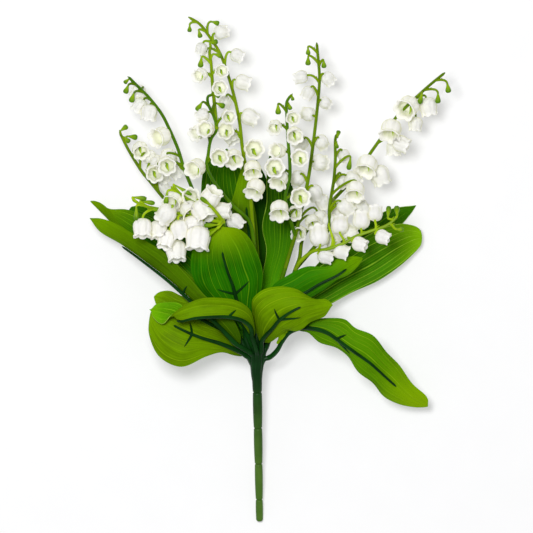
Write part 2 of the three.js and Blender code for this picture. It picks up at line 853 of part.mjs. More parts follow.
function taperedTube(frames, sides, rootRadius, endRadius) {
  const radiusAt = (i) => THREE.MathUtils.lerp(rootRadius, endRadius, i / (frames.length - 1));
  return loft(frames.map((frame, i) => ring(frame, even(sides, radiusAt(i)))));
}

const fused = (solids) => wasm.Manifold.union(solids);

// What would reach below the table is pressed flat against it.
function restOnTable(solid) {
  const reach = 400;
  const corners = [[-1, -1], [1, -1], [1, 1], [-1, 1]];
  const square = (z) => corners.map(([x, y]) => new THREE.Vector3(x * reach, y * reach, z));
  return solid.intersect(loft([square(0), square(reach)]));
}

function part(name, colour, solid) {
  const { vertProperties, triVerts } = solid.getMesh();
  const geometry = new THREE.BufferGeometry();
  geometry.setAttribute('position', new THREE.BufferAttribute(vertProperties, 3));
  geometry.setIndex(new THREE.BufferAttribute(triVerts, 1));
  geometry.computeVertexNormals();
  const material = new THREE.MeshStandardMaterial({ color: colour, roughness: 0.5, metalness: 0 });
  const mesh = new THREE.Mesh(geometry, material);
  mesh.name = name;
  return mesh;
}

// Leaves

// A blade's middle surface. s runs from base to tip, and t from the near edge over the keel, which
// is 0, to the far edge. under() points out of the blade's underside.
function bladeSurface(leaf) {
  const [near, keel, far] = [leaf.near, leaf.keel, leaf.far].map((rail) => curveThrough(rail.map(vector)));
  const flat = (s, t) => keel.getPoint(s).lerp((t < 0 ? near : far).getPoint(s), Math.abs(t));
  const normal = (s, t) => {
    const [ds, dt] = [0.02, 0.2];
    const along = flat(Math.min(1, s + ds), t).sub(flat(Math.max(0, s - ds), t));
    const across = flat(s, Math.min(1, t + dt)).sub(flat(s, Math.max(-1, t - dt)));
    return along.cross(across).normalize();
  };
  const middleOfNearHalf = [0.45, -0.5];
  const facesUp = Math.sign(normal(...middleOfNearHalf).z);
  const turn = leaf.shows === 'under' ? facesUp : -facesUp;
  const under = (s, t) => normal(s, t).multiplyScalar(turn);
  const at = (s, t) => {
    const halfWidth = keel.getPoint(s).distanceTo((t < 0 ? near : far).getPoint(s));
    const belly = BLADE.bulge * halfWidth * 4 * Math.abs(t) * (1 - Math.abs(t));
    const ripple = BLADE.wave * t * t * Math.sin(2 * Math.PI * BLADE.waves * s) * Math.sin(Math.PI * s);
    return flat(s, t).addScaledVector(under(s, t), belly + ripple);
  };
  return { at, under };
}

function blade(leaf) {
  const { at, under } = bladeSurface(leaf);
  const [rows, columns] = [leaf.keel.length, BLADE.columns.length];
  const points = [];
  for (const face of [-1, 1]) {
    for (let r = 0; r <= rows; r++) {
      for (const t of BLADE.columns) {
        const s = r / rows;
        points.push(at(s, t).addScaledVector(under(s, t), (face * BLADE.thickness) / 2));
      }
    }
  }
  const back = (rows + 1) * columns;
  const faces = [];
  for (let r = 0; r < rows; r++) {
    for (let c = 0; c + 1 < columns; c++) {
      const [a, b] = [r * columns + c, r * columns + c + 1];
      const [d, e] = [a + columns, b + columns];
      faces.push([a, b, e], [a, e, d]);
      faces.push([back + a, back + e, back + b], [back + a, back + d, back + e]);
    }
  }
  const rim = [];
  for (let c = 0; c + 1 < columns; c++) rim.push(c);
  for (let r = 0; r < rows; r++) rim.push(r * columns + columns - 1);
  for (let c = columns - 1; c > 0; c--) rim.push(rows * columns + c);
  for (let r = rows; r > 0; r--) rim.push(r * columns);
  rim.forEach((a, i) => {
    const b = rim[(i + 1) % rim.length];
    faces.push([a, back + b, b], [a, back + a, back + b]);
  });
  return restOnTable(solidOf(points, faces));
}

// A stalk runs from the crown to the blade and on as the rib under its keel.
function stalkCurve(leaf) {
  const { at, under } = bladeSurface(leaf);
  const { rootRadius, ribStart, ribEnd, ribPoints, gap } = STALK;
  const depth = BLADE.thickness / 2 + gap + rootRadius;
  const points = [vector(CROWN), ...leaf.stalk.map(vector)];
  for (let i = 0; i < ribPoints; i++) {
    const s = THREE.MathUtils.lerp(ribStart, ribEnd, i / (ribPoints - 1));
    points.push(at(s, 0).addScaledVector(under(s, 0), depth));
  }
  return curveThrough(points);
}

// A barb slants from the rib under the near or the far half of its blade.
function barb(leaf, half) {
  const { at, under } = bladeSurface(leaf);
  const { barbAt, barbReach, barbSpread, barbRadius, gap } = STALK;
  const points = [0, 1].map((u) => {
    const [s, t] = [barbAt + barbReach * u, half * barbSpread * u];
    return at(s, t).addScaledVector(under(s, t), BLADE.thickness / 2 + gap + barbRadius);
  });
  return taperedTube(stations(points), 3, barbRadius, barbRadius / 2);
}

function stalk(leaf) {
  const curve = stalkCurve(leaf);
  const { rootRadius, endRadius, steps, sides } = STALK;
  const frames = stretch(curve, leaf.socket + GAP, curve.getLength(), steps);
  const rod = taperedTube(frames, sides, rootRadius, endRadius);
  return restOnTable(fused([rod, barb(leaf, -1), barb(leaf, 1)]));
}

// Flower branches

const trunkCurve = (branch) => curveThrough(branch.trunk.map(vector));

// The place on a stem that lies nearest to a spot as seen from above: its height, how far off it
// is, its length from the root, and the way the stem runs there.
function nearestOn(stem, x, y) {
  let best = { distance: Infinity };
  let passed = 0;
  for (let i = 0; i + 1 < stem.length; i++) {
    const run = stem[i + 1].clone().sub(stem[i]);
    const offset = (x - stem[i].x) * run.x + (y - stem[i].y) * run.y;
    const share = THREE.MathUtils.clamp(offset / (run.x ** 2 + run.y ** 2), 0, 1);
    const spot = stem[i].clone().addScaledVector(run, share);
    const distance = Math.hypot(spot.x - x, spot.y - y);
    if (distance < best.distance) best = { distance, height: spot.z, from: passed + share * run.length() };
    passed += run.length();
  }
  return best;
}

// The point and direction of a stem at a length from its root.
function onStem(stem, from) {
  let left = from;
  let i = 0;
  while (i + 2 < stem.length && left > stem[i].distanceTo(stem[i + 1])) {
    left -= stem[i].distanceTo(stem[i + 1]);
    i++;
  }
  const along = stem[i + 1].clone().sub(stem[i]).normalize();
  return { point: stem[i].clone().addScaledVector(along, left), along };
}

// The arched pedicel from a stem to a flower's top. It leaves the stem a little before the flower.
function pedicelCurve(stem, { distance, from }, top, facing) {
  const { point: root, along } = onStem(stem, Math.max(0, from - PEDICEL.setback * distance));
  const reach = root.distanceTo(top) * PEDICEL.arch;
  const away = top.clone().sub(root).normalize().add(along).normalize();
  const leaving = root.clone().addScaledVector(away, reach);
  const arriving = top.clone().addScaledVector(facing, -reach);
  return new THREE.CubicBezierCurve3(root, leaving, arriving, top);
}

function bellRings(size) {
  const spots = (count, [depth, radius]) => even(count, radius * size, depth * size);
  const rim = Array.from({ length: 2 * BELL.lobes }, (_, i) => (i % 2 ? BELL.lobeNotch : BELL.lobeTip));
  return [
    spots(BELL.lobes, BELL.shoulder),
    rim.map(([depth, radius]) => [depth * size, radius * size]),
    [[BELL.ceiling * size, 0]],
  ];
}

// A bud longer than most is slimmer as well.
function budRings(size) {
  const girth = Math.min(size, 1 / Math.sqrt(size));
  const spots = (count, [depth, radius]) => even(count, radius * girth, depth * size);
  return [spots(BUD.sides, BUD.neck), spots(BUD.sides, BUD.belly), [[BUD.length * size, 0]]];
}

// A bell or a bud with its pedicel, in one skin. A flower is its middle as seen from above, its
// height over the stem, the direction in which it faces, and its size.
function flower(stem, [x, y, lift, faceX, faceY, faceZ, size], length, headRings) {
  const root = nearestOn(stem, x, y);
  const direction = vector([faceX, faceY, faceZ]).normalize();
  const top = new THREE.Vector3(x, y, root.height + lift).addScaledVector(direction, (-length * size) / 2);
  const neck = stations(pedicelCurve(stem, root, top, direction).getPoints(PEDICEL.steps));
  const head = frameAt(top, direction, neck.pop().side);
  const { sides, rootRadius, radius } = PEDICEL;
  const rings = [...neck, head].map((frame, i) => ring(frame, even(sides, i ? radius : rootRadius)));
  return loft([...rings, ...headRings(size).map((spots) => ring(head, spots))]);
}

function spray(plan) {
  const stem = plan.stem.map(vector);
  const rod = taperedTube(stations(stem), BRANCH.sides, BRANCH.forkRadius, BRANCH.tipRadius);
  const bells = plan.bells.map((place) => flower(stem, place, BELL.length, bellRings));
  const buds = plan.buds.map((place) => flower(stem, place, BUD.length, budRings));
  return [rod, ...bells, ...buds];
}

function flowerBranch(branch) {
  const curve = trunkCurve(branch);
  const { socket, rootRadius, forkRadius, steps, sides } = BRANCH;
  const frames = stretch(curve, socket + GAP, curve.getLength(), steps);
  const trunk = taperedTube(frames, sides, rootRadius, forkRadius);
  return restOnTable(fused([trunk, ...branch.sprays.flatMap(spray)]));
}

// Pick

// The pick's segments swell a little between the grooves that part them.
function pickRod() {
  const { tipRadius, topRadius, grooves, grooveDepth, swellFrom, swellTo, sides } = PICK;
  const axis = new THREE.LineCurve3(vector(PICK.tip), vector(PICK.crown));
  const length = axis.getLength();
  const ends = [0, ...grooves, length];
  const rings = [];
  const addRing = (height, depth) => {
    const radius = THREE.MathUtils.lerp(tipRadius, topRadius, height / length) - depth;
    const station = stations([axis.getPointAt(height / length)], [axis.getTangent(0)])[0];
    rings.push(ring(station, even(sides, radius)));
  };
  for (let k = 0; k + 1 < ends.length; k++) {
    const along = (share) => THREE.MathUtils.lerp(ends[k], ends[k + 1], share);
    addRing(ends[k], k > 0 ? grooveDepth : 0);
    addRing(along(swellFrom), 0);
    addRing(along(swellTo), 0);
  }
  addRing(length, 0);
  return loft(rings);
}

// The crown's forked sockets, one for each stalk and branch, run together at its middle.
function socket(curve, length, endRadius) {
  return taperedTube(stretch(curve, 0, length, 1), PICK.socketSides, PICK.socketRadius, endRadius);
}

// The crown swells out of the rod's end, and the sockets come out of it.
function crownHub() {
  const [base, top] = stations([vector(PICK.hubBase), vector(PICK.crown)]);
  return loft([
    ring(base, even(PICK.sides, PICK.hubBaseRadius)),
    ring(top, even(PICK.sides, PICK.hubRadius)),
    ring(top, [[PICK.hubDome, 0]]),
  ]);
}

function pick() {
  const forLeaves = LEAVES.map((leaf) => socket(stalkCurve(leaf), leaf.socket, STALK.rootRadius));
  const forFlowers = FLOWER_BRANCHES.map((branch) =>
    socket(trunkCurve(branch), BRANCH.socket, BRANCH.rootRadius),
  );
  return restOnTable(fused([pickRod(), crownHub(), ...forLeaves, ...forFlowers]));
}

// The bush

const COLOURS = { pick: 0x1d5020, stalk: 0x0d3a14, blade: 0x4f8f10, flower: 0xe9eee0 };

const bush = new THREE.Group();
bush.add(part('pick', COLOURS.pick, pick()));
for (const leaf of LEAVES) {
  bush.add(part(`leaf_${leaf.name}`, COLOURS.blade, blade(leaf)));
  bush.add(part(`stalk_${leaf.name}`, COLOURS.stalk, stalk(leaf)));
}
for (const branch of FLOWER_BRANCHES) {
  bush.add(part(`flowers_${branch.name}`, COLOURS.flower, flowerBranch(branch)));
}

export default bush;
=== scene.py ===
"""An artificial lily of the valley bush lying on a pale table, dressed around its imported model."""

import math
import random

import bpy
from mathutils import Matrix, Vector
from mathutils.geometry import interpolate_bezier


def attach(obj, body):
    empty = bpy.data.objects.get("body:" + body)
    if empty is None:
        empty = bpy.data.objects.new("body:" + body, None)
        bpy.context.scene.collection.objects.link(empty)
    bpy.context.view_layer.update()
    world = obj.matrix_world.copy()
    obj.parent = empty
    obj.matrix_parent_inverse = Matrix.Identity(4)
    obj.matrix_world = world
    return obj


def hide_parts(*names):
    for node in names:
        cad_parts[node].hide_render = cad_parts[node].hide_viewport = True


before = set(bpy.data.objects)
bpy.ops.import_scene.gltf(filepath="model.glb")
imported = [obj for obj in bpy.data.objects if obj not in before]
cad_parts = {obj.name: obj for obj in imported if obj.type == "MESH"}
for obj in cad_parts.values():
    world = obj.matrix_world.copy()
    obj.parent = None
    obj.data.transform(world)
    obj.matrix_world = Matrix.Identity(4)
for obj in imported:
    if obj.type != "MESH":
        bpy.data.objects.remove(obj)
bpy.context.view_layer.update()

# Camera
# The bush lies on the table and is looked at from straight above. A long lens far up keeps the
# high front leaves and the low back ones at one size.

MM = 0.001
PICTURE_PIXELS = 533
PIXEL_SIZE = 0.7 * MM
CAMERA_SPOT = Vector((-3.15 * MM, 2.1 * MM, 10.0))
BUSH_MIDDLE_HEIGHT = 40 * MM
SENSOR_WIDTH = 36.0
NEAREST_SEEN = 0.1
FARTHEST_SEEN = 40.0


def select_only(*pieces):
    """Leaves only these pieces selected, so that the next operator works on nothing else."""
    bpy.ops.object.select_all(action="DESELECT")
    for piece in pieces:
        piece.select_set(True)
    if pieces:
        bpy.context.view_layer.objects.active = pieces[0]


select_only()
bpy.ops.object.camera_add(location=CAMERA_SPOT, rotation=(0, 0, 0))
camera = bpy.context.object
camera.name = "camera"
lens_per_width = (CAMERA_SPOT.z - BUSH_MIDDLE_HEIGHT) / (PICTURE_PIXELS * PIXEL_SIZE)
camera.data.sensor_width = SENSOR_WIDTH
camera.data.lens = SENSOR_WIDTH * lens_per_width
camera.data.clip_start = NEAREST_SEEN
camera.data.clip_end = FARTHEST_SEEN
bpy.context.scene.camera = camera
bpy.context.scene.view_settings.view_transform = "Standard"

# Studio
# A white table top under a wide soft lamp at the upper left, with an even white room around it,
# so the bush has soft grey shadows that fall to its lower right.

LAMP_SPOT = Vector((-0.22, 0.25, 1.8))
LAMP_SIZE = 0.42
LAMP_POWER = 26.0
WHITE = (1.0, 1.0, 1.0, 1.0)
ROOM_BRIGHTNESS = 0.36
TABLE_WIDTH = 8.0
TABLE_DROP = 0.2 * MM
TABLE_GLOW = 0.435
TABLE_ROUGHNESS = 0.8
TABLE_GLOSS = 0.1
PAINT_SPECK_SCALE = 300.0


def add_node(tree, kind, inputs=None, **settings):
    """Adds a shader node, with its settings and with what each of its inputs gets."""
    made = tree.nodes.new(kind)
    for name, value in settings.items():
        setattr(made, name, value)
    for name, value in (inputs or {}).items():
        feed(tree, value, made.inputs[name])
    return made


def feed(tree, value, socket):
    """Links an output to a socket, or sets the socket to a plain value."""
    if isinstance(value, bpy.types.NodeSocket):
        tree.links.new(value, socket)
    else:
        socket.default_value = value


def mixed(tree, share, first, second):
    """A colour that goes from the first to the second with the share."""
    made = add_node(tree, "ShaderNodeMix", data_type="RGBA")
    for value, socket in ((share, 0), (first, 6), (second, 7)):
        feed(tree, value, made.inputs[socket])
    return made.outputs[2]


def noise(tree, place, scale, detail):
    """A cloudy pattern, with its middle value at a half."""
    inputs = {"Vector": place, "Scale": scale, "Detail": detail}
    return add_node(tree, "ShaderNodeTexNoise", inputs).outputs[0]


def new_material(name):
    """A material with only its Principled shader, and the tree and the shader."""
    material = bpy.data.materials.new(name)
    material.use_nodes = True
    return material, material.node_tree, material.node_tree.nodes["Principled BSDF"]


def tint(code):
    """A colour as it looks, such as 7da50a, in the linear values that shaders use."""
    parts = [int(code[i : i + 2], 16) / 255 for i in (0, 2, 4)]
    return tuple(((p + 0.055) / 1.055) ** 2.4 if p > 0.04045 else p / 12.92 for p in parts) + (1.0,)


bpy.ops.object.light_add(type="AREA", location=LAMP_SPOT)
lamp = bpy.context.object
lamp.name = "lamp"
lamp.data.size = LAMP_SIZE
lamp.data.energy = LAMP_POWER
lamp.rotation_euler = (-LAMP_SPOT).to_track_quat("-Z", "Y").to_euler()

room = bpy.data.worlds.new("room")
room.use_nodes = True
room.node_tree.nodes["Background"].inputs["Color"].default_value = WHITE
room.node_tree.nodes["Background"].inputs["Strength"].default_value = ROOM_BRIGHTNESS
bpy.context.scene.world = room

select_only()
bpy.ops.mesh.primitive_plane_add(size=TABLE_WIDTH, location=(0, 0, -TABLE_DROP))
table = bpy.context.object
table.name = "table"

table_white, tree, shader = new_material("table_white")
place = add_node(tree, "ShaderNodeTexCoord").outputs["Generated"]
paint_specks = noise(tree, place, PAINT_SPECK_SCALE, 3.0)
feed(tree, mixed(tree, paint_specks, tint("bcbcbd"), tint("c0c0c1")), shader.inputs["Base Color"])
shader.inputs["Roughness"].default_value = TABLE_ROUGHNESS
shader.inputs["Specular IOR Level"].default_value = TABLE_GLOSS
shader.inputs["Emission Color"].default_value = WHITE
shader.inputs["Emission Strength"].default_value = TABLE_GLOW
table.data.materials.append(table_white)

# Pick
# The bush's handle is one moulded plastic rod. Grooves part it into five segments, its foot is
# rounded, and it is darker at the crown, where it is thicker, than at its foot. Sizes are in mm.

PICK_FOOT = Vector((-8, -177, 1.9))
PICK_CROWN = Vector((-10, -61, 32))
PICK_FOOT_RADIUS = 2.5
PICK_TOP_RADIUS = 3.7
GROOVES = [16, 42, 68, 94]
GROOVE_DEPTH = 0.55
GROOVE_HALF_WIDTH = 0.7
GROOVE_RINGS = [-2, -1, -0.4, 0, 0.4, 1, 2]
SEGMENT_RINGS = [3 + 2.6 * k for k in range(40)]
SEGMENT_SWELL = 0.35
CLEAR_OF_GROOVE = 2
ROUNDED_FOOT = [(0, 0.5), (0.25, 1.5), (0.9, 2.2), (2, 2.5)]
PICK_SIDES = 40
PICK_DARKENS = (-160 * MM, -70 * MM)
ANY_SIDE = Vector((0.36, 0.48, 0.8))
SKIN_DEPTH = 0.04 * MM
STREAK_SCALE = 900.0
PIT_SCALE = 2200.0


def turned(name, profile, sides, open_end=False):
    """A round piece drawn out of a disc ring by ring along +Z, from (height, radius) pairs in mm."""
    select_only()
    (height, radius), *others = profile
    start = (0, 0, height * MM)
    bpy.ops.mesh.primitive_circle_add(vertices=sides, radius=radius * MM, fill_type="NGON", location=start)
    piece = bpy.context.object
    piece.name = piece.data.name = name
    bpy.ops.object.mode_set(mode="EDIT")
    bpy.ops.mesh.select_all(action="SELECT")
    for next_height, next_radius in others:
        rise = (0, 0, (next_height - height) * MM)
        bpy.ops.mesh.extrude_region_move(TRANSFORM_OT_translate={"value": rise})
        bpy.ops.transform.resize(value=(next_radius / radius, next_radius / radius, 1))
        height, radius = next_height, next_radius
    if open_end:
        bpy.ops.mesh.delete(type="ONLY_FACE")
    bpy.ops.object.mode_set(mode="OBJECT")
    bpy.ops.object.transform_apply(location=True)
    return piece


def standing_at(spot, along, side=ANY_SIDE, size=1.0, girth=None):
    """The matrix that turns +Z to the way along and sets a piece's start at a spot in mm."""
    along = along.normalized()
    across = along.cross(side).normalized()
    turn = Matrix((across.cross(along), across, along)).transposed().to_4x4()
    girth = girth or size
    return Matrix.Translation(spot * MM) @ turn @ Matrix.Diagonal((girth, girth, size, 1))


def set_down(piece, matrix):
    """Puts a piece in its place and leaves the place in its mesh."""
    select_only(piece)
    piece.matrix_world = matrix
    bpy.ops.object.transform_apply(location=True, rotation=True, scale=True)


def joined(name, pieces):
    """Several pieces made one, with its own name."""
    select_only(*pieces)
    bpy.ops.object.join()
    pieces[0].name = pieces[0].data.name = name
    return pieces[0]


def finished(piece, materials, sharp_angle=40):
    """Smooths a piece up to its sharp edges and gives it its materials, one to each slot."""
    select_only(piece)
    bpy.ops.object.shade_smooth_by_angle(angle=math.radians(sharp_angle))
    slots = piece.data.materials
    while len(slots) < len(materials):
        slots.append(None)
    for place in range(len(slots)):
        slots[place] = materials[min(place, len(materials) - 1)]


def reckoned(tree, operation, *values):
    """The result of a Math node."""
    return add_node(tree, "ShaderNodeMath", dict(enumerate(values)), operation=operation).outputs[0]


def ramped(tree, value, low, high, to_low=0.0, to_high=1.0, course="SMOOTHSTEP"):
    """A value mapped from one range to another."""
    inputs = {"Value": value, "From Min": low, "From Max": high, "To Min": to_low, "To Max": to_high}
    return add_node(tree, "ShaderNodeMapRange", inputs, interpolation_type=course).outputs[0]


def node_group(name, inputs):
    """A new node group that puts out a colour, a roughness and a relief, with what it is given."""
    tree = bpy.data.node_groups.new(name, "ShaderNodeTree")
    outputs = {"Colour": "Color", "Roughness": "Float", "Height": "Float"}
    for way, sockets in (("INPUT", inputs), ("OUTPUT", outputs)):
        for label, kind in sockets.items():
            tree.interface.new_socket(name=label, in_out=way, socket_type=f"NodeSocket{kind}")
    return tree, tree.nodes.new("NodeGroupInput").outputs, tree.nodes.new("NodeGroupOutput").inputs


def moulded_grain():
    """The look of moulded plastic: a mottled tone, an uneven gloss and a fine skin."""
    inputs = {"Place": "Vector", "Colour": "Color", "Mottle Colour": "Color"}
    inputs |= {"Mottle Scale": "Float", "Gloss Low": "Float", "Gloss High": "Float"}
    tree, given, results = node_group("moulded_grain", inputs)
    share = ramped(tree, noise(tree, given["Place"], given["Mottle Scale"], 4.0), 0.35, 0.68)
    feed(tree, mixed(tree, share, given["Colour"], given["Mottle Colour"]), results["Colour"])
    streaks = noise(tree, given["Place"], STREAK_SCALE, 2.0)
    gloss = ramped(tree, streaks, 0.0, 1.0, given["Gloss Low"], given["Gloss High"], "LINEAR")
    feed(tree, gloss, results["Roughness"])
    pits = noise(tree, given["Place"], PIT_SCALE, 2.0)
    feed(tree, reckoned(tree, "MULTIPLY_ADD", streaks, 0.6, pits), results["Height"])
    return tree


def covered(tree, shader, look, depth, specular):
    """Gives a shader its colour, roughness and relief from a look, and its own shine."""
    feed(tree, look.outputs["Colour"], shader.inputs["Base Color"])
    feed(tree, look.outputs["Roughness"], shader.inputs["Roughness"])
    bump = add_node(tree, "ShaderNodeBump", {"Distance": depth, "Height": look.outputs["Height"]})
    feed(tree, bump.outputs[0], shader.inputs["Normal"])
    shader.inputs["Specular IOR Level"].default_value = specular


MOULDED_GRAIN = moulded_grain()


def moulded(name, tones, mottle_scale, gloss, specular, skin=SKIN_DEPTH):
    """A moulded plastic, from its two tones, its mottle, its gloss and its skin's depth."""
    material, tree, shader = new_material(name)
    place = add_node(tree, "ShaderNodeTexCoord").outputs["Object"]
    inputs = {"Place": place, "Colour": tint(tones[0]), "Mottle Colour": tint(tones[1])}
    inputs |= {"Mottle Scale": mottle_scale, "Gloss Low": gloss[0], "Gloss High": gloss[1]}
    grain = add_node(tree, "ShaderNodeGroup", inputs, node_tree=MOULDED_GRAIN, name="grain")
    covered(tree, shader, grain, skin, specular)
    return material


def shaded(material, value, low, high, end_tones):
    """Lets a moulded plastic's two tones go over to its end's as a value goes from low to high."""
    tree = material.node_tree
    share = ramped(tree, value, low, high)
    for label, code in zip(("Colour", "Mottle Colour"), end_tones):
        socket = tree.nodes["grain"].inputs[label]
        feed(tree, mixed(tree, share, tuple(socket.default_value), tint(code)), socket)


def pick_radius(height, length):
    """The pick's radius at a height over its foot, between its slow taper and its grooves."""
    taper = PICK_FOOT_RADIUS + (PICK_TOP_RADIUS - PICK_FOOT_RADIUS) * height / length
    ends = [0, *GROOVES, length]
    low = max(end for end in ends[:-1] if end <= height)
    high = ends[ends.index(low) + 1]
    swell = math.sin(math.pi * (height - low) / (high - low)) ** 0.5 if 0 < height < length else 0
    nearest = min(abs(height - groove) for groove in GROOVES)
    groove = max(0, 1 - nearest / GROOVE_HALF_WIDTH)
    return taper - SEGMENT_SWELL * (1 - swell) - GROOVE_DEPTH * groove


pick_length = (PICK_CROWN - PICK_FOOT).length
rings = [groove + GROOVE_HALF_WIDTH * k for groove in GROOVES for k in GROOVE_RINGS]
rings += [
    ring for ring in SEGMENT_RINGS if min(abs(ring - groove) for groove in GROOVES) >= CLEAR_OF_GROOVE
]
rod_profile = ROUNDED_FOOT + [(height, pick_radius(height, pick_length)) for height in sorted(rings)]
pick_rod = turned("pick_rod", rod_profile, PICK_SIDES)
set_down(pick_rod, standing_at(PICK_FOOT, PICK_CROWN - PICK_FOOT))

pick_plastic = moulded("pick_plastic", ("466a22", "527628"), 70.0, (0.34, 0.5), 0.14)
tree = pick_plastic.node_tree
place = add_node(tree, "ShaderNodeTexCoord").outputs["Object"]
length_way = add_node(tree, "ShaderNodeSeparateXYZ", {"Vector": place}).outputs["Y"]
shaded(pick_plastic, length_way, *PICK_DARKENS, ("082c0a", "0e3c12"))
finished(pick_rod, [pick_plastic])
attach(pick_rod, "root")
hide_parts("pick")

# Blades
# Each of the sixteen leaves is one pressed and coated cloth blade, folded along its keel, with
# raised veins that run from its base to its tip. It is clipped onto the barbed rib under it.

